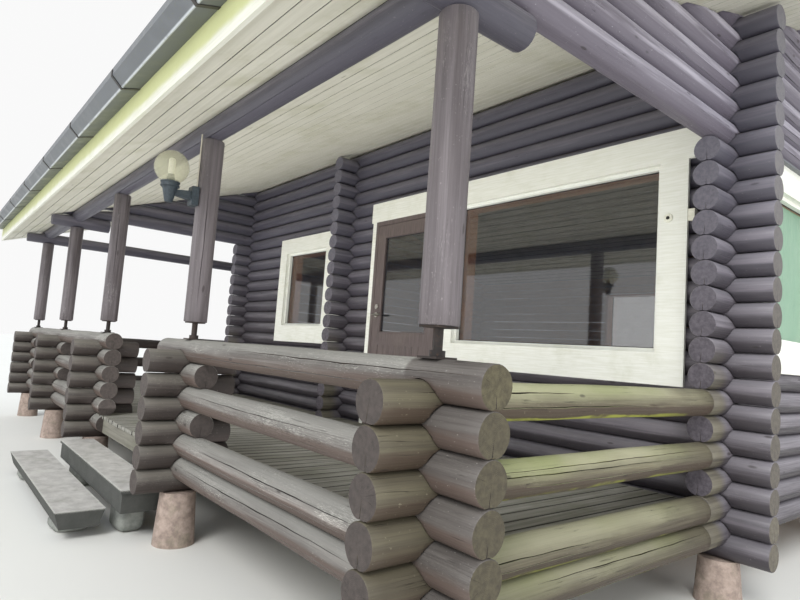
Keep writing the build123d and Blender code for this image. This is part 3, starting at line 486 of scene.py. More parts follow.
def mineral(name, dark, light, scale, stain, stain_share=0.3, grit=0.003, side=""):
    """Concrete, stone or felt: clouds, grit and mossy stains, and a cast slab's sides darkened as painted
    shade and its pale edges.
    """
    cast = Finish(name, roughness=0.9)
    place = cast.place()
    cloud = cast.noise(place, 5.0 * scale, detail=8, roughness=0.68)
    grains = cast.noise(place, 140.0 * scale, detail=3, roughness=0.7)
    moss = cast.noise(place, 2.3 * scale, detail=6, roughness=0.7, distortion=0.4)
    body = cast.mix(cast.between(cloud, 0.28, 0.72), dark, light)
    body = cast.mix(cast.between(grains, 0.55, 0.75, 0.0, 0.3), body, dark)
    body = cast.mix(cast.times(cast.between(moss, 0.52, 0.66), stain_share), body, stain)
    if side:
        # Painted shade: faces that do not face up are darkened.
        steep_shade = cast.plus(cast.facing(), moss, 0.5)
        body = cast.mix(cast.between(steep_shade, 0.55, 0.85, 0.9, 0.0), body, side)
        rounded = cast.node("Bevel", samples=6)
        rounded.inputs["Radius"].default_value = 0.02
        normals = (rounded.outputs["Normal"], cast.node("NewGeometry").outputs["Normal"])
        flatness = cast.node("VectorMath", *normals, operation="DOT_PRODUCT").outputs["Value"]
        ragged = cast.plus(flatness, cast.math("SUBTRACT", moss, 0.5), 0.3)
        upper_edge = cast.between(cast.axis_of(normals[0], "Z"), 0.1, 0.3)
        body = cast.mix(cast.times(cast.between(ragged, 0.92, 0.99, 0.7, 0.0), upper_edge), body, "c9c8c0")
    return cast.finish(Base_Color=body, Normal=cast.bump(grains, grit, 0.5, cast.bump(cloud, 0.01, 0.35)))


def coated_metal(name, base, worn, metallic=0.3, roughness=0.42, dirt="75774f", dirt_share=0.35, fold_highlight=0.0):
    """Coated or bare metal: dust, drips and dull patches, and a painted highlight along the folds of both
    eaves.
    """
    metal = Finish(name, roughness, Metallic=metallic)
    place = metal.place()
    cloud = metal.noise(place, 7.0, detail=6, roughness=0.65)
    speck = metal.noise(place, 90.0, detail=3, roughness=0.6)
    body = metal.mix(metal.between(cloud, 0.35, 0.7), base, worn)
    body = metal.mix(metal.times(metal.between(speck, 0.58, 0.7), dirt_share), body, dirt)
    # Painted highlight: a bright line along the fold of each eave's gutter.
    if fold_highlight:
        line = metal.near(metal.math("ABSOLUTE", metal.at("Y")), fold_highlight, 0.003, 0.009)
        body = metal.mix(metal.times(line, metal.between(cloud, 0.3, 0.5, 0.4, 1.0)), body, "c2c6ca")
    rough = metal.between(cloud, 0.3, 0.7, roughness - 0.1, roughness + 0.22)
    return metal.finish(Base_Color=body, Roughness=rough, Normal=metal.bump(speck, 0.0004, 0.3))


def glass(name, tint, alpha, bend=1.5, clear_from=None):
    """Thin glass: partly clear over its tint, mirror-like at its surface, a little dusty, and clearer past a
    place along X.
    """
    pane = Finish(name, roughness=0.02, IOR=bend)
    dust = pane.noise(pane.place(), 6.0, detail=6, roughness=0.7)
    see = pane.between(dust, 0.35, 0.8, alpha, alpha + 0.06)
    if clear_from is not None:
        see = pane.times(see, pane.between(pane.at("X"), clear_from, clear_from + 0.02, 1.0, 0.4))
    return pane.finish(Base_Color=tint, Roughness=pane.between(dust, 0.4, 0.8, 0.02, 0.07), Alpha=see)


def dress(node, material):
    """Give a CAD node its finish."""
    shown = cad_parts[node]
    shown.data.materials.clear()
    shown.data.materials.append(material)


# Mesh building

def placed(name, data):
    """A new object in the scene."""
    made = bpy.data.objects.new(name, data)
    bpy.context.scene.collection.objects.link(made)
    return made


class Shape:
    """Collects vertices, faces and attributes of one piece."""

    def __init__(self):
        self.points = []
        self.grain = []
        self.shares = {"tone": [], "inner": [], "crack": []}
        self.faces = []
        self.marks = []
        self.count = 0

    def add(self, points, faces, grain=None, mark=0, tone=0.5, inner=0.0, crack=0.0):
        """Add a part. mark is the place of its material, for all its faces or one by one."""
        points = np.asarray(points, float)
        self.points.append(points)
        self.grain.append(points if grain is None else grain)
        for key, value in (("tone", tone), ("inner", inner), ("crack", crack)):
            self.shares[key].append(np.broadcast_to(value, len(points)))
        self.faces.extend(tuple(self.count + index for index in face) for face in faces)
        self.marks.extend(mark if isinstance(mark, list) else [mark] * len(faces))
        self.count += len(points)

    def piece(self, name, materials, body="cabin", smooth=None):
        """Make the object, and let it ride on its body."""
        mesh = bpy.data.meshes.new(name)
        mesh.from_pydata(np.concatenate(self.points).tolist(), [], self.faces)
        grain = mesh.attributes.new("grain", "FLOAT_VECTOR", "POINT")
        grain.data.foreach_set("vector", np.concatenate(self.grain).astype(np.float32).ravel())
        for key, rows in self.shares.items():
            values = mesh.attributes.new(key, "FLOAT", "POINT")
            values.data.foreach_set("value", np.concatenate(rows).astype(np.float32))
        for material in materials:
            mesh.materials.append(material)
        mesh.polygons.foreach_set("material_index", np.array(self.marks, np.int32))
        if smooth is not None:
            mesh.polygons.foreach_set("use_smooth", np.ones(len(mesh.polygons), bool))
            mesh.set_sharp_from_angle(angle=math.radians(smooth))
        mesh.update()
        made = placed(name, mesh)
        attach(made, body)
        return made


def grid_faces(rows, wide, closed=False):
    """Faces between rings of vertices. closed joins the last ring to the first."""
    faces = []
    for row in range(rows if closed else rows - 1):
        low, high = row * wide, (row + 1) % rows * wide
        for column in range(wide):
            after = (column + 1) % wide
            faces.append((low + column, low + after, high + after, high + column))
    return faces


def bar_faces(count, flip):
    """Faces of a closed bar between two rings of vertices."""
    faces = [tuple(range(count))[::-1], tuple(range(count, 2 * count)), *grid_faces(2, count)]
    return [face[::-1] for face in faces] if flip else faces


def islands(node):
    """Corners of each separate solid in a CAD node."""
    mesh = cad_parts[node].data
    count = len(mesh.vertices)
    places = np.zeros(count * 3)
    mesh.vertices.foreach_get("co", places)
    places = places.reshape(-1, 3)
    keys = {}
    same = [keys.setdefault(tuple(place), index) for index, place in enumerate(np.round(places, 5))]
    parent = list(range(count))

    def root(item):
        while parent[item] != item:
            parent[item] = parent[parent[item]]
            item = parent[item]
        return item

    for edge in mesh.edges:
        first, second = (root(same[index]) for index in edge.vertices)
        parent[first] = second
    groups = {}
    for index in range(count):
        groups.setdefault(root(same[index]), []).append(index)
    boxes = [(places[rows].min(0), places[rows].max(0)) for rows in groups.values()]
    return sorted(boxes, key=lambda box: [round(float(value), 4) for value in (*box[0], *box[1])])


def middle_of(node, axis):
    """Middle of a CAD node along an axis."""
    low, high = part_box(node)
    return (low[axis] + high[axis]) / 2


RIDGE_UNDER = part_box("ceiling_boards_front")[1].z - CEILING_T
EAVE = abs(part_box("ceiling_boards_front")[0].y)
HOUSE_LEFT = middle_of("left_wall", 0)
HOUSE_RIGHT = middle_of("right_wall", 0)
HOUSE_FRONT = middle_of("front_wall", 1)
HOUSE_REAR = middle_of("rear_wall", 1)
PORCH_LINE = middle_of("main_beam", 1)
RAIL_CORNER = middle_of("side_rail_right", 0)
DECK_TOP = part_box("deck_boards")[1].z


def roof_underside(y):
    """Height of the ceiling's lower face."""
    return RIDGE_UNDER - np.abs(y) * ROOF_SLOPE


# Logs and posts

class Log:
    """One log of the frame: its axis (0 or 1), the line it lies on, its height and its run."""

    def __init__(self, node, low, high):
        self.node = node
        wide = [abs(high[side] - low[side] - 2 * LOG_HALF) < ROUND for side in (0, 1)]
        self.axis = 0 if wide[1] and not wide[0] else 1
        self.line = (low[1 - self.axis] + high[1 - self.axis]) / 2
        self.run = (low[self.axis], high[self.axis])
        first = X_LOG_FIRST if self.axis == 0 else Y_LOG_FIRST
        self.height = first + math.floor((low[2] - first + HALF_COURSE + ROUND) / COURSE) * COURSE
        self.seed = self.line * 7.3 + self.height * 13.1 + self.run[0] * 3.7

    def beside(self, other):
        """Whether another log lies on the same line over some of the same run."""
        same = other.axis == self.axis and abs(other.line - self.line) < ROUND
        return same and other.run[0] < self.run[1] and self.run[0] < other.run[1]

    def crossings(self):
        """Where logs of the other direction lie half a course below this one."""
        found = set()
        for other in LOGS:
            crosses = other.axis != self.axis and other.run[0] - ROUND < self.line < other.run[1] + ROUND
            below = abs(self.height - HALF_COURSE - other.height) < ROUND
            if crosses and below and self.run[0] < other.line < self.run[1]:
                found.add(round(float(other.line), 4))
        return sorted(found)

    def rests_on_log(self):
        """Whether a log of the same direction lies right under this one."""
        return any(self.beside(other) and abs(self.height - COURSE - other.height) < ROUND for other in LOGS)

    def cuts(self):
        """Openings whose sill or head cuts into this log: start, end, height, and whether it lies below."""
        found = []
        across = 1 - self.axis
        for low, high in OPENINGS:
            meets = low[across] - LOG_HALF < self.line < high[across] + LOG_HALF
            if meets and low[self.axis] < self.run[1] - ROUND and self.run[0] + ROUND < high[self.axis]:
                under = self.height < (low[2] + high[2]) / 2
                found.append((low[self.axis], high[self.axis], low[2] if under else high[2], under))
        return found


LOG_NODES = (
    "front_wall", "rear_wall", "right_wall", "left_wall", "right_gable", "left_gable", "partition_log_ends",
    "main_beam", "cross_beams", "front_rails", "side_rail_right", "side_rail_left", "back_rail", "rail_wings",
)
LOGS = [Log(node, low, high) for node in LOG_NODES for low, high in islands(node)]
OPENINGS = [*islands("window_frames"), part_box("door_frame")]

# How finely each node's logs are made: sides, ring step, and angles of their long cracks
LOG_DETAIL = {
    "front_rails": (30, 0.07, (2.75, 3.6)),
    "rail_wings": (28, 0.09, (0.5, 3.3)),
    "side_rail_right": (28, 0.06, (2.55, 3.35, 2.9)),
    "side_rail_left": (20, 0.3, ()),
    "back_rail": (20, 0.3, ()),
    "main_beam": (24, 0.25, (4.0,)),
    "cross_beams": (24, 0.25, ()),
    "right_wall": (24, 0.3, (3.3,)),
    "front_wall": (24, 0.3, ()),
    "right_gable": (24, 0.12, (3.45, 3.95)),
}
PLAIN_LOG = (18, 0.4, ())
SIDE_RAILS = ("side_rail_right", "side_rail_left")
SIDE_WALLS = ("right_wall", "left_wall", "partition_log_ends")
LOG_FINISH = {
    # The gable logs use a lighter copy of the wall finish, as painted light.
    "right_gable": ("gable_log", "wall_end"),
    "front_rails": ("rail_log", "rail_end"),
    "side_rail_right": ("side_log", "rail_end"),
    "side_rail_left": ("wing_log", "rail_end"),
    "back_rail": ("wing_log", "rail_end"),
    "rail_wings": ("wing_log", "rail_end"),
}


def inside_house(points):
    """1 for the points that face the room, 0 for the others."""
    x, y, z = points.T
    room = (x > HOUSE_LEFT + ROUND) & (x < HOUSE_RIGHT - ROUND)
    room &= (y > HOUSE_FRONT + ROUND) & (y < HOUSE_REAR - ROUND) & (z > DECK_TOP)
    return room.astype(float)


def ring_places(run, step, notches, steps):
    """Where rings of vertices lie along a log: even ones, and closer ones at ends, notches and cuts."""
    start, end = run
    places = [start, start + END_BEVEL, end - END_BEVEL, end]
    count = max(1, round((end - start) / step))
    for index in range(1, count):
        place = start + (end - start) * index / count
        if all(abs(place - notch) > LOG_HALF for notch in notches):
            places.append(place)
    for notch in notches:
        for turn in range(-NOTCH_RINGS, NOTCH_RINGS + 1):
            places.append(notch + LOG_HALF * math.sin(turn / NOTCH_RINGS * math.pi / 2))
    places.extend(steps)
    kept = sorted(place for place in places if start <= place <= end)
    spaced = [kept[0]]
    for place in kept[1:]:
        if place - spaced[-1] > RING_GAP:
            spaced.append(place)
    return np.array(spaced)


def columns_round(sides, cracks):
    """Angle, side and crack of each column of vertices: three close columns stand where a crack runs."""
    columns = []
    for index in range(sides):
        mine = [crack for crack in cracks if round(crack["angle"] / (2 * math.pi) * sides) % sides == index]
        if mine:
            columns.extend((mine[0]["angle"], side, mine[0]) for side in (-1, 0, 1))
        else:
            columns.append((index * 2 * math.pi / sides, 0, None))
    return columns


def tube_faces(rows, wide):
    """Faces of a tube with a ringed cap at each end, and a mark of 1 for the caps."""
    faces = grid_faces(rows, wide)
    marks = [0] * len(faces)
    block = len(CAP_RINGS) * wide + 1
    for outer, start, turn in ((0, rows * wide, -1), ((rows - 1) * wide, rows * wide + block, 1)):
        rings = [outer] + [start + index * wide for index in range(len(CAP_RINGS))]
        centre = start + block - 1
        for column in range(wide):
            after = (column + 1) % wide
            for first, second in zip(rings, rings[1:]):
                faces.append((first + column, first + after, second + after, second + column)[::turn])
            faces.append((rings[-1] + column, rings[-1] + after, centre)[::turn])
    marks.extend([1] * (len(faces) - len(marks)))
    return faces, marks


def crack_opening(crack, places, run):
    """How far a crack is open along a log, from 0 to 1."""
    if crack["at_ends"]:
        nearest = np.minimum(places - run[0], run[1] - places)
        return np.clip(1 - nearest / END_CRACK_RUN, 0, 1)
    share = np.clip((places - crack["start"]) / (crack["end"] - crack["start"]), 0, 1)
    return np.sin(share * math.pi) * (0.75 + 0.25 * np.sin(places * 19 + crack["angle"]))


def check_at(column, share):
    """1 if a column's crack runs in as far as a ring of the sawn end, else 0."""
    _, side, crack = column
    return 1.0 if crack and side == 0 and crack["reach"] > 1 - share else 0.0


def tube(shape, run, seed, to_world, sides, step, radius=LOG_R, cracks=(), notches=(), steps=(),
         wobble=POST_WOBBLE, mould=None):
    """Add a round log or post: cracks and wobble on its side, sawn ends, and a mould of its section."""
    places = ring_places(run, step, notches, steps)
    columns = columns_round(sides, cracks)
    rows, wide = len(places), len(columns)
    angle = np.tile([column[0] for column in columns], (rows, 1)).astype(float)
    sink = np.zeros((rows, wide))
    split = np.zeros((rows, wide))
    for column, (_, side, crack) in enumerate(columns):
        if crack:
            opening = crack_opening(crack, places, run)
            path = sum(share * np.sin(places * crack["wave"] * pace + pace * seed)
                       for share, pace in ((1.0, 1.0), (0.35, 5.3), (0.2, 17.0)))
            angle[:, column] += crack["wander"] * path
            angle[:, column] += side * (CRACK_CLOSED + crack["width"] / radius * opening)
            if side == 0:
                sink[:, column] = crack["depth"] * opening
                split[:, column] = np.minimum(1, opening * 3)
    along = places[:, None]
    wave = np.sin(along * 2.1 + seed) * np.cos(angle - seed) + 0.6 * np.sin(along * 5.3 + 2 * seed + angle)
    wave += 0.5 * np.sin(angle * 3 + seed) + 0.35 * np.sin(along * 13 + angle * 4 + seed)
    reach = radius - wobble * 0.8 + wobble * 0.5 * wave - sink
    reach[[0, -1]] -= END_BEVEL * 0.7
    across, up = reach * np.cos(angle), reach * np.sin(angle)
    if mould:
        across, up = mould(places, across, up)
    layers = [(np.repeat(along, wide, 1), across, up, split)]
    for row, outward in ((0, -1), (rows - 1, 1)):
        middle_up = (up[row].max() + up[row].min()) / 2
        for share in CAP_RINGS:
            reaches = np.array([check_at(column, share) for column in columns])
            ring_along = places[row] - outward * CRACK_IN_END * share * reaches
            ring_up = middle_up + (up[row] - middle_up) * share
            layers.append((ring_along, across[row] * share, ring_up, reaches))
        layers.append((places[row:row + 1], np.zeros(1), np.array([middle_up]), np.zeros(1)))
    along, across, up, split = (np.concatenate([np.ravel(value) for value in part]) for part in zip(*layers))
    points = to_world(along, across, up)
    faces, marks = tube_faces(rows, wide)
    tone = 0.5 + 0.5 * math.sin(seed * 12.9)
    grain = np.stack([along + seed, across, up], 1)
    shape.add(points, faces, grain, marks, tone, inside_house(points), split)


def side_cracks(rng, run, angles, width, depth):
    """Long drying cracks at about the given angles, each over a part of the log."""
    made = []
    for angle in angles:
        if rng.random() < 0.35:
            continue
        length = (run[1] - run[0]) * rng.uniform(0.35, 0.8)
        start = rng.uniform(run[0], run[1] - length)
        made.append({
            "at_ends": False, "start": start, "end": start + length,
            "angle": angle + rng.uniform(-0.06, 0.06),
            "width": width * rng.uniform(0.3, 1.2), "depth": depth * rng.uniform(0.6, 1.2),
            "wander": CRACK_WANDER, "wave": rng.uniform(1.5, 4.0), "reach": rng.uniform(0.3, 0.9),
        })
    return made


def end_crack(angle, reach):
    """A check in both sawn ends, from the rim towards the heart."""
    width, depth = END_CRACK
    return {
        "at_ends": True, "angle": angle, "width": width, "depth": depth, "wander": 0.0, "wave": 1.0,
        "reach": reach,
    }


def add_log(shape, log, sides, step, cracks):
    """Add one log of the frame with its groove, notches and the cuts of windows and doors."""
    notches = log.crossings()
    cuts = log.cuts()
    grooved = log.rests_on_log()

    def mould(places, across, up):
        if grooved:
            bed = np.sqrt(np.maximum(LOG_HALF ** 2 - across ** 2, 0)) - COURSE + SEAM
            up = np.maximum(up, bed)
        for notch in notches:
            offset = places - notch
            near = np.abs(offset) < LOG_HALF
            lift = np.sqrt(np.maximum(LOG_HALF ** 2 - offset[near] ** 2, 0)) - HALF_COURSE + SEAM
            up[near] = np.maximum(up[near], lift[:, None])
        for start, end, height, under in cuts:
            near = (places > start) & (places < end)
            limit = height - log.height
            up[near] = np.minimum(up[near], limit) if under else np.maximum(up[near], limit)
        return across, up

    def to_world(along, across, up):
        points = np.zeros((len(along), 3))
        points[:, log.axis] = along
        points[:, 1 - log.axis] = log.line + (across if log.axis == 0 else -across)
        points[:, 2] = log.height + up
        points[:, 2] = np.minimum(points[:, 2], roof_underside(points[:, 1]) - SEAM)
        return points

    edges = [place + side * CUT_EDGE for cut in cuts for place in cut[:2] for side in (-1, 1)]
    wobble = RAIL_WOBBLE if "rail" in log.node else LOG_WOBBLE
    tube(shape, log.run, log.seed, to_world, sides, step, cracks=cracks, notches=notches, steps=edges,
         wobble=wobble, mould=mould)


def build_logs(finishes):
    """One piece of round logs for each node of logs."""
    rng = random.Random(SEEDS["logs"])
    for node in LOG_NODES:
        sides, step, angles = LOG_DETAIL.get(node, PLAIN_LOG)
        shape = Shape()
        for log in (log for log in LOGS if log.node == node):
            long_enough = log.run[1] - log.run[0] > LONG_LOG
            cracks = side_cracks(rng, log.run, angles, *LOG_CRACK) if long_enough else []
            cracks.append(end_crack(-math.pi / 2 + rng.uniform(-0.12, 0.12), rng.uniform(0.2, 0.9)))
            add_log(shape, log, sides, step, cracks)
        side, end = LOG_FINISH.get(node, ("wall_log", "wall_end"))
        made = shape.piece(node + "_logs", [finishes[side], finishes[end]], smooth=LOG_CREASE)
        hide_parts(node)


def build_posts(finishes):
    """Turned posts with long drying cracks, and the round beam under the ridge."""
    rng = random.Random(SEEDS["posts"])
    shape = Shape()
    for low, high in islands("posts"):
        middle = (low + high) / 2
        run = (low[2], high[2])
        radius = (high[0] - low[0]) / 2

        def to_world(along, across, up, middle=middle):
            return np.stack([middle[0] + across, middle[1] + up, along], 1)

        cracks = side_cracks(rng, run, POST_CRACK_ANGLES, *POST_CRACK)
        tube(shape, run, middle[0] * 3.1 + middle[1], to_world, *POST_DETAIL, radius, cracks)
    made = shape.piece("post_shafts", [finishes["post_wood"], finishes["wall_end"]], smooth=LOG_CREASE)
    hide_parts("posts")
    low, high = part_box("ridge_beam")
    shape = Shape()

    def along_ridge(along, across, up):
        return np.stack([along, across, (low.z + high.z) / 2 + up], 1)

    tube(shape, (low.x, high.x), SEEDS["ridge"], along_ridge, *RIDGE_DETAIL, (high.z - low.z) / 2)
    made = shape.piece("ridge_log", [finishes["wall_log"], finishes["wall_end"]], smooth=LOG_CREASE)
    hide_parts("ridge_beam")


# Boards

def prism(shape, section, run, axis, tone=0.5, mark=0):
    """Add a straight bar: a section of (across, up) points, counter-clockwise seen against the axis."""
    across, up = np.array(section).T
    ends = []
    for place in run:
        along = np.full(len(section), place)
        ends.append(np.stack([along, across, up] if axis == 0 else [across, along, up], 1))
    shape.add(np.concatenate(ends), bar_faces(len(section), axis == 1), tone=tone, mark=mark)


def board_section(low, high, bottom, top, chamfer):
    """Section of a board with its two upper edges eased."""
    return [(low, bottom), (high, bottom), (high, top - chamfer), (high - chamfer, top),
            (low + chamfer, top), (low, top - chamfer)]


def add_box(shape, along_x, along_y, along_z):
    """Add a plain box from its extents."""
    (front, rear), (bottom, top) = along_y, along_z
    prism(shape, [(front, bottom), (rear, bottom), (rear, top), (front, top)], along_x, 0)


def build_deck(finishes):
    """Deck boards across the porch, notched round the logs, over a riser board at the steps."""
    low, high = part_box("deck_boards")
    half = LOG_HALF + ROUND
    wings = [(log.line, log.run[1]) for log in LOGS if log.node == "rail_wings"]
    wings += [(log.line, PORCH_LINE + LOG_OVERHANG) for log in LOGS if log.node in SIDE_RAILS]
    ends = [(log.line, log.run[0]) for log in LOGS
            if log.node in SIDE_WALLS and abs(log.height - DECK_TOP) < COURSE]
    lines = [line + side * half for line, _ in wings + ends for side in (-1, 1)]
    posts = sorted({round(float(line), 3) for line, _ in wings})
    step_bay = (posts[2] + LOG_HALF, posts[3] - LOG_HALF)
    rng = random.Random(SEEDS["deck"])
    shape = Shape()
    place = low.x
    while place < high.x - DECK_BOARD / 2:
        right = min(place + DECK_BOARD, high.x)
        tone = rng.random()
        splits = [line for line in lines if place + STRIP_MIN < line < right - STRIP_MIN]
        marks = sorted({place, right, *splits})
        for left, stop in zip(marks, marks[1:]):
            middle = (left + stop) / 2
            start = PORCH_LINE + half
            if step_bay[0] < middle < step_bay[1]:
                start = low.y + rng.uniform(*BOARD_ENDS)
            end = HOUSE_FRONT - half
            for line, reach in wings:
                if abs(middle - line) < half:
                    start = max(start, reach + ROUND)
            for line, reach in ends:
                if abs(middle - line) < half:
                    end = min(end, reach - ROUND)
            top = DECK_TOP + rng.uniform(-DECK_UNEVEN, DECK_UNEVEN)
            section = board_section(left, stop, DECK_TOP - DECK_T, top, DECK_CHAMFER)
            prism(shape, section, (start, end), 1, tone)
        place += DECK_BOARD + DECK_GAP
    face = low.y + RISER_SETBACK
    riser = board_section(face, face + DECK_T, low.z, DECK_TOP - DECK_T - ROUND, DECK_CHAMFER)
    prism(shape, riser, (step_bay[0] + RISER_INSET, step_bay[1] - RISER_INSET), 0, RISER_TONE, mark=1)
    made = shape.piece("deck_planks", [finishes["deck_board"], finishes["riser_board"]])
    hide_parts("deck_boards")


def build_floor(finishes):
    """Varnished floorboards inside."""
    low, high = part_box("house_floor")
    rng = random.Random(SEEDS["floor"])
    shape = Shape()
    place = low.y
    while place < high.y - ROUND:
        right = min(place + FLOOR_BOARD - FLOOR_GAP, high.y)
        section = board_section(place, right, low.z, high.z, FLOOR_CHAMFER)
        prism(shape, section, (low.x, high.x), 0, rng.random())
        place += FLOOR_BOARD
    made = shape.piece("floor_planks", [finishes["floor_board"]])
    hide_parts("house_floor")


def build_ceiling(finishes):
    """Painted boards under the roof, eased at their joints and butted at random."""
    low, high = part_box("ceiling_boards_front")
    length = math.hypot(1, ROOF_SLOPE)
    count = int(EAVE * length / CEILING_BOARD)
    thick = CEILING_T * length - SEAM
    for node, side in (("ceiling_boards_front", -1), ("ceiling_boards_rear", 1)):
        rng = random.Random(SEEDS["ceiling"] + side)
        shape = Shape()
        for index in range(count):
            far = EAVE * (1 - index / count) - CEILING_GAP
            near = EAVE * (1 - (index + 1) / count) + CEILING_GAP
            outline = (
                (far, CEILING_CHAMFER), (far - CEILING_CHAMFER, 0.0), (near + CEILING_CHAMFER, 0.0),
                (near, CEILING_CHAMFER), (near, thick), (far, thick),
            )
            section = [(side * y, RIDGE_UNDER - y * ROOF_SLOPE + up) for y, up in outline]
            shares = (0.0, rng.uniform(0.2, 0.45), rng.uniform(0.6, 0.85), 1.0)
            stops = [low.x + (high.x - low.x) * share for share in shares]
            for start, stop in zip(stops, stops[1:]):
                prism(shape, section[::-side], (start + BUTT_GAP, stop - BUTT_GAP), 0, rng.random())
        made = shape.piece(node.replace("boards", "planks"), [finishes["ceiling_board"]])
        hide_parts(node)


def build_roofing(finishes):
    """Felt laid up the slope between three-cornered battens, on both sides of the ridge."""
    low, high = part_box("roof_front")
    top = high.z + FELT_T
    edge = EAVE + FELT_OVER_EAVE
    drop = edge * ROOF_SLOPE
    for side, name in ((-1, "roof_felt_front"), (1, "roof_felt_rear")):
        shape = Shape()
        section = [(side * edge, high.z - drop), (0, high.z), (0, top), (side * edge, top - drop)]
        prism(shape, section[::-side], (low.x - FELT_OVER_RAKE, high.x + FELT_OVER_RAKE), 0)
        for x in np.linspace(low.x + BATTEN_INSET, high.x - BATTEN_INSET, BATTENS):
            points = [(x + across * BATTEN_W / 2, side * reach, top - reach * ROOF_SLOPE + up)
                      for reach in (BATTEN_TOP, edge) for across, up in ((-1, 0), (1, 0), (0, BATTEN_H))]
            shape.add(points, bar_faces(3, side > 0))
        shape.piece(name, [finishes["roof_felt"]])


# Windows, door and small fittings

def frame_bars(shape, low, high, axis, front, back, face, mark=0, chamfer=0.004):
    """Four mitred bars round an opening: low and high are (along, up) corners, front and back the depth."""
    out = 1 if back > front else -1
    rings = (
        (0.0, back), (0.0, front + out * chamfer), (chamfer, front), (face - chamfer, front),
        (face, front + out * chamfer), (face, back),
    )
    points = []
    for inset, depth in rings:
        left, right = low[0] + inset, high[0] - inset
        bottom, top = low[1] + inset, high[1] - inset
        for along, up in ((left, bottom), (right, bottom), (right, top), (left, top)):
            points.append((along, depth, up) if axis == 0 else (depth, along, up))
    turn = 1 if (out > 0) == (axis == 0) else -1
    shape.add(points, [side[::turn] for side in grid_faces(len(rings), 4, closed=True)], mark=mark)


def build_windows(finishes):
    """Varnished linings behind the glass, a dark gasket round it, and a blind in the gable window."""
    shape = Shape()
    blind = Shape()
    for low, high in islands("window_frames"):
        axis = 0 if high[0] - low[0] > high[1] - low[1] else 1
        across = 1 - axis
        middle = (low[across] + high[across]) / 2
        inward = 1 if abs(middle - HOUSE_FRONT) < FRONT_WINDOW_REACH else -1
        back = high[across] if inward > 0 else low[across]
        bars = (
            (LINING_INSET, back, back + inward * LINING_DEPTH, LINING_FACE, 0),
            (FRAME_FACE, middle + inward * BEAD_DEPTH, back, BEAD_FACE, 0),
            (FRAME_FACE, *(middle - inward * depth for depth in GASKET_DEPTHS), GASKET_FACE, 1),
        )
        for inset, start, stop, face, mark in bars:
            corners = (low[axis] + inset, low[2] + inset), (high[axis] - inset, high[2] - inset)
            frame_bars(shape, *corners, axis, start, stop, face, mark, BAR_CHAMFER)
        if axis == 1:
            faces = sorted(middle + inward * depth for depth in BLIND_DEPTHS)
            add_box(blind, faces, *((low[side] + BLIND_INSET, high[side] - BLIND_INSET) for side in (1, 2)))
    shape.piece("window_linings", [finishes["varnish"], finishes["gasket"]])
    blind.piece("gable_window_blind", [finishes["green_blind"]])


def build_door(finishes):
    """Grooved boards in the lower panel of the leaf, on both faces, and a bead round the glass."""
    low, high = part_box("door_leaf")
    glass_low, glass_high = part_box("door_glass")
    panel_x = (low.x + DOOR_STILE, high.x - DOOR_STILE)
    panel_z = (low.z + DOOR_RAIL, glass_low.z - DOOR_RAIL)
    width = (panel_x[1] - panel_x[0]) / DOOR_BOARDS
    shape = Shape()
    for plane, inward in ((low.y, 1), (high.y, -1)):
        face, back = (plane + inward * depth for depth in DOOR_BOARD_DEPTHS)
        halfway = (face + back) / 2
        for index in range(DOOR_BOARDS):
            left = panel_x[0] + index * width + DOOR_BOARD_GAP / 2
            right = left + width - DOOR_BOARD_GAP
            ring = [(left, back), (right, back), (right, halfway), (right - DOOR_GROOVE, face),
                    (left + DOOR_GROOVE, face), (left, halfway)]
            points = [(x, y, z) for z in panel_z for x, y in ring]
            shape.add(points, bar_faces(len(ring), face < back), tone=(index * DOOR_TONE_STEP) % 1)
    middle = (low.y + high.y) / 2
    corners = (glass_low.x, glass_low.z), (glass_high.x, glass_high.z)
    for plane, out in ((low.y, -DOOR_BEAD_OUT), (high.y, DOOR_BEAD_OUT)):
        frame_bars(shape, *corners, 0, plane + out, middle + out, DOOR_BEAD)
    shape.piece("door_boards", [finishes["brown_paint"]], body="door")


def turned(shape, profile, place, axis=2, sides=32, mark=0):
    """Add a turned form: (radius, along) pairs round an axis through a place."""
    points = []
    for radius, along in profile:
        for step in range(sides):
            turn = 2 * math.pi * step / sides
            across, up = radius * math.cos(turn), radius * math.sin(turn)
            offset = (across, up, along) if axis == 2 else (across, along, up)
            points.append([base + move for base, move in zip(place, offset)])
    count = len(points)
    faces = [*grid_faces(len(profile), sides), tuple(range(sides))[::-1], tuple(range(count - sides, count))]
    shape.add(points, faces if axis == 2 else [face[::-1] for face in faces], mark=mark)


def build_lamp(finishes):
    """Bulb and holder inside the globe, ribs and a cone at the collar, and a tapered sleeve on the arm."""
    x, y = middle_of("lamp_globe", 0), middle_of("lamp_globe", 1)
    foot = (x, y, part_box("lamp_globe")[0].z)
    shape = Shape()
    turned(shape, LAMP_HOLDER, foot)
    turned(shape, LAMP_BULB, foot, mark=1)
    shape.piece("lamp_bulb", [finishes["lamp_plastic"], finishes["bulb"]], smooth=TRIM_CREASE)
    trim = Shape()
    for profile in LAMP_COLLAR:
        turned(trim, profile, foot)
    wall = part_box("lamp_bracket")[1].y - ARM_PLATE
    points = [(x + side * wide, along, foot[2] + ARM_HEIGHT + up * tall)
              for along, wide, tall in ((y + ARM_END[0], *ARM_END[1:]), (wall, *ARM_ROOT))
              for side, up in ((-1, -1), (1, -1), (1, 1), (-1, 1))]
    trim.add(points, bar_faces(4, True))
    trim.piece("lamp_collar_ribs", [finishes["lamp_plastic"]], smooth=TRIM_CREASE)


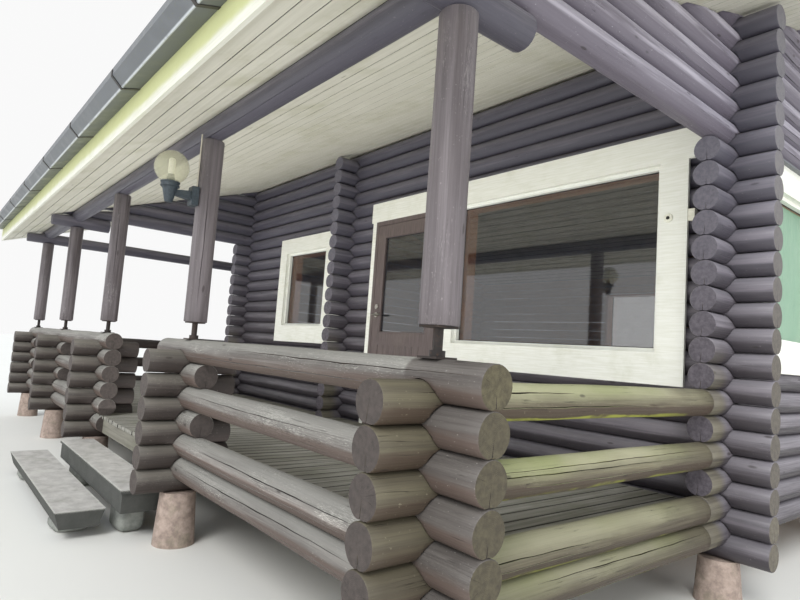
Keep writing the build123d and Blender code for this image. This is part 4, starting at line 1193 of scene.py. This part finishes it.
def build_stones(finishes):
    """Rounded natural stones under the steps, each inside its solid's box."""
    shape = Shape()
    rows, sides = STONE_GRID
    tilt = np.linspace(-math.pi / 2, math.pi / 2, rows)[:, None]
    turn = np.linspace(0, 2 * math.pi, sides, endpoint=False)[None, :]
    sphere = [np.cos(tilt) * np.cos(turn), np.cos(tilt) * np.sin(turn), np.sin(tilt) * np.ones_like(turn)]
    rounded = np.stack([np.sign(part) * np.abs(part) ** STONE_BLUNT for part in sphere], 2)
    for low, high in islands("step_stones"):
        middle, half = (low + high) / 2, (high - low) / 2
        seed = middle[0] * 5.1 + middle[1] * 2.3
        lumps = 0.95 + 0.05 * np.sin(turn * 3 + seed) * np.cos(tilt * 2 + seed)
        lumps += 0.02 * np.sin(turn * 7 + 2 * seed)
        points = rounded * half
        points[:, :, :2] *= np.minimum(lumps, 1.0)[:, :, None]
        shape.add(points.reshape(-1, 3) + middle, grid_faces(rows, sides))
    made = shape.piece("natural_stones", [finishes["stone"]], smooth=STONE_CREASE)
    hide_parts("step_stones")


def build_fittings(finishes):
    """Round cover on the large window's casing, small box beside it, and the gable window's drip moulding."""
    centre = (COVER_CENTRE[0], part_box("window_trims")[0].y, COVER_CENTRE[1])
    shape = Shape()
    turned(shape, COVER_DISK, centre, axis=1, sides=36)
    turned(shape, COVER_SLOT, centre, axis=1, mark=1)
    face = HOUSE_FRONT - LOG_HALF
    add_box(shape, BOX_X, [face + depth for depth in BOX_Y], BOX_Z)
    shape.piece("wall_covers", [finishes["white_cover"], finishes["gasket"]], smooth=TRIM_CREASE)
    low, high = max(islands("window_trims"), key=lambda box: box[0][0])
    section = [(high[0] + across, high[2] + up) for across, up in DRIP_SECTION]
    drip = Shape()
    prism(drip, section, (low[1] - DRIP_OVERHANG, high[1] + DRIP_OVERHANG), 1)
    drip.piece("gable_window_drip", [finishes["gutter_metal"]])


# View and light: each panel's name, power, size, place and turn
LIGHT_PANELS = (
    ("front_light", 380, (16.0, 5.0), (4.0, -15.0, 1.6), (96, 0, 0)),
    ("ground_light", 480, (16.0, 4.0), (2.0, -8.2, 0.05), (172, 0, 0)),
    ("deck_light", 85, (8.0, 1.7), (0.3, -3.0, 0.62), (180, 0, 0)),
    ("side_light", 520, (8.0, 4.0), (15.0, -3.0, 2.0), (96, 0, 90)),
)
SUN_TURN = (48, 6, 28)
SUN_ANGLE = 25
SUN_POWER = 1.9
SKY_SEEN = 0.95
SKY_LIGHT = 1.0
GROUND_REACH = 90


def radians(angles):
    return [math.radians(angle) for angle in angles]


def build_ground():
    """A pale, matte floor."""
    mesh = bpy.data.meshes.new("ground")
    corners = [(x * GROUND_REACH, y * GROUND_REACH, 0) for x, y in ((-1, -1), (1, -1), (1, 1), (-1, 1))]
    mesh.from_pydata(corners, [], [(0, 1, 2, 3)])
    floor = placed("ground", mesh)
    matte = Finish("ground_matte", roughness=0.9)
    cloud = matte.noise(matte.place(), 0.6, detail=3)
    mesh.materials.append(matte.finish(Base_Color=matte.mix(cloud, "dddcd6", "e4e3dd")))


def build_sky():
    """Soft daylight all round, over a pale background that the view, mirrors and glass see."""
    world = bpy.data.worlds.new("sky")
    world.use_nodes = True
    bpy.context.scene.world = world
    nodes, links = world.node_tree.nodes, world.node_tree.links
    seen = nodes["Background"]
    seen.inputs["Color"].default_value = (1, 1, 1, 1)
    seen.inputs["Strength"].default_value = SKY_SEEN
    lit = nodes.new("ShaderNodeBackground")
    lit.inputs["Color"].default_value = (0.88, 0.93, 1.0, 1)
    lit.inputs["Strength"].default_value = SKY_LIGHT
    path = nodes.new("ShaderNodeLightPath")
    direct = path.outputs["Is Camera Ray"]
    for other in ("Is Glossy Ray", "Is Transmission Ray"):
        either = nodes.new("ShaderNodeMath")
        either.operation = "MAXIMUM"
        links.new(direct, either.inputs[0])
        links.new(path.outputs[other], either.inputs[1])
        direct = either.outputs[0]
    mix = nodes.new("ShaderNodeMixShader")
    for socket, source in zip(mix.inputs, (direct, lit.outputs[0], seen.outputs[0])):
        links.new(source, socket)
    links.new(mix.outputs[0], nodes["World Output"].inputs["Surface"])


def build_camera_and_light():
    """The photograph's view, a pale floor and soft daylight."""
    camera = placed("camera", bpy.data.cameras.new("camera"))
    camera.location = CAMERA_PLACE
    camera.rotation_euler = radians(CAMERA_TURN)
    camera.data.lens = CAMERA_LENS
    camera.data.sensor_width = CAMERA_SENSOR
    camera.data.clip_end = CAMERA_FAR
    bpy.context.scene.camera = camera
    build_ground()
    sun = placed("sun", bpy.data.lights.new("sun", "SUN"))
    sun.data.energy = SUN_POWER
    sun.data.angle = math.radians(SUN_ANGLE)
    sun.rotation_euler = radians(SUN_TURN)
    for name, power, size, place, turn in LIGHT_PANELS:
        panel = placed(name, bpy.data.lights.new(name, "AREA"))
        panel.data.shape = "RECTANGLE"
        panel.data.size, panel.data.size_y = size
        panel.data.energy = power
        panel.location = place
        panel.rotation_euler = radians(turn)
        panel.visible_camera = False
        panel.visible_glossy = False
    build_sky()
    bpy.context.scene.view_settings.view_transform = "Standard"


def all_finishes():
    """Every material by its name."""
    eave_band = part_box("fascias")[0].z + EAVE_BAND
    made = [
        stained_log("wall_log", "3c383d", "736d73", "928c8c", "a19ea3", under="3b363a", worn=0.15, dust=0.35,
                    inside="b98a54", roughness=0.46, eaves="6a6b7c", low=0.35),
        # Painted light: the gable logs are a lighter copy of the wall logs, standing for the bright light on
        # them.
        stained_log("gable_log", "69636f", "a8a3ae", "b8b4b8", "c4c4d0", under="645e68", worn=0.15, dust=0.35,
                    inside="b98a54", roughness=0.46),
        stained_log("rail_log", "423c39", "75706b", "a9a59d", "9a9a93", under="574942", worn=0.75, dust=0.55,
                    crack=0.6, bleached="X"),
        stained_log("wing_log", "352f2d", "5d5650", "8d867c", "868379", under="3b3330", worn=0.3, dust=0.4,
                    bleached="outside", greened=True),
        stained_log("side_log", "443e34", "767059", "968f7a", "aeac8e", under="46392f", worn=0.35, dust=0.85,
                    crack=0.7, moss=0.75, bleached="Y", low=0.5, greened=True),
        stained_log("post_wood", "443d3e", "6f686a", "9a9492", "96959c", worn=0.3, dust=0.2, roughness=0.45),
        end_grain("wall_end", "423d43", "696369", "544e44", "706a5c", eaves="82828f"),
        end_grain("rail_end", "38322f", "524945", "413b2c", "5d5741"),
        board_wood("deck_board", "757369", "9e9c95", 1, dirt="64664f", roughness=0.75, shaded_sides=True),
        board_wood("riser_board", "6c695f", "88857a", 0, dirt="5d5e4a", roughness=0.75),
        board_wood("floor_board", "9a6f42", "b98a57", 0, roughness=0.35),
        board_wood("ceiling_board", "cbc8b9", "d9d6c8", 0, dirt="b3b196", dirt_share=0.6, shaded_sides=True),
        board_wood("joist", "8a7355", "a58d6b", 1, roughness=0.8),
        board_wood("varnish", "c07c50", "dc9c6c", 0, roughness=0.35),
        painted("cream_paint", "dddcd1", "d2d1c2", "c6c9a0", above=eave_band, tint="c9cd8e"),
        painted("white_paint", "efefe6", "e3e3d6", "b9ba9c"),
        painted("white_frame", "f0f1ea", "e4e4d9", "c1c2a8", dirt_share=0.25),
        painted("brown_paint", "564b49", "6a5e5b", "7b716a", dirt_share=0.4, grain_axis=2),
        painted("green_blind", "93bf9f", "a2cbab", "86b394", grain_axis=2),
        painted("gasket", "1d1c1c", "272625", "3a3832", roughness=0.6, dirt_share=0.2),
        painted("lamp_plastic", "2a3238", "3c454b", "6d705c", roughness=0.5, dirt_share=0.35),
        painted("cable", "c9c3b4", "b9b3a2", "8d8a70", grain_axis=2),
        painted("white_cover", "f0eee0", "dedcc8", "b0ad8c", roughness=0.35, dirt_share=0.4),
        painted("bulb", "f2efe0", "e9e5d2", "d8d3bd", roughness=0.25, dirt_share=0.2),
        mineral("roof_felt", "2e2f31", "46484a", 1.5, "4d5140", 0.4, grit=0.001),
        mineral("step_cast", "a5a29d", "c6c3be", 2.0, "7c7f6c", side="262a26"),
        mineral("pier", "83746b", "b09e92", 4.0, "77755f", 0.35, grit=0.005),
        mineral("stone", "6c6f6a", "94968f", 2.5, "565d4b", 0.5, grit=0.004),
        coated_metal("gutter_metal", "63666a", "74777b", fold_highlight=GUTTER_FOLD),
        coated_metal("strap_metal", "2c2a2a", "4a4744", dirt_share=0.2),
        coated_metal("jack_metal", "2e2a29", "4c423d", metallic=0.5, dirt="6b4a34"),
        coated_metal("bright_metal", "b8b4aa", "a09c94", metallic=0.95, roughness=0.28, dirt_share=0.1),
        # Painted shade: the panes' dark tint, partly opaque, darkens the room seen through them.
        glass("pane", "2a2e34", 0.34, bend=3.0, clear_from=CLEAR_PANE_FROM),
        glass("globe", "c9c7aa", 0.26),
    ]
    return {material.name.split(".")[0]: material for material in made}


NODE_FINISH = {
    "floor_frames": "joist", "piers": "pier", "upper_step": "step_cast", "lower_step": "step_cast",
    "step_stones": "stone", "roof_front": "roof_felt", "roof_rear": "roof_felt", "ridge_cap": "roof_felt",
    "rake_boards": "white_frame", "fascias": "cream_paint", "gutters": "gutter_metal",
    "gutter_brackets": "strap_metal", "window_frames": "white_frame", "window_trims": "white_paint",
    "window_panes": "pane", "door_frame": "brown_paint", "door_leaf": "brown_paint", "door_glass": "pane",
    "door_handles": "bright_metal", "hinge_pins": "bright_metal", "hinge_barrels": "bright_metal",
    "lamp_bracket": "lamp_plastic", "lamp_globe": "globe", "lamp_cable": "cable", "post_jacks": "jack_metal",
}

build_camera_and_light()
finishes = all_finishes()
for node, finish in NODE_FINISH.items():
    dress(node, finishes[finish])
for build in (build_logs, build_posts, build_deck, build_floor, build_ceiling, build_roofing, build_stones,
              build_windows, build_door, build_lamp, build_fittings):
    build(finishes)
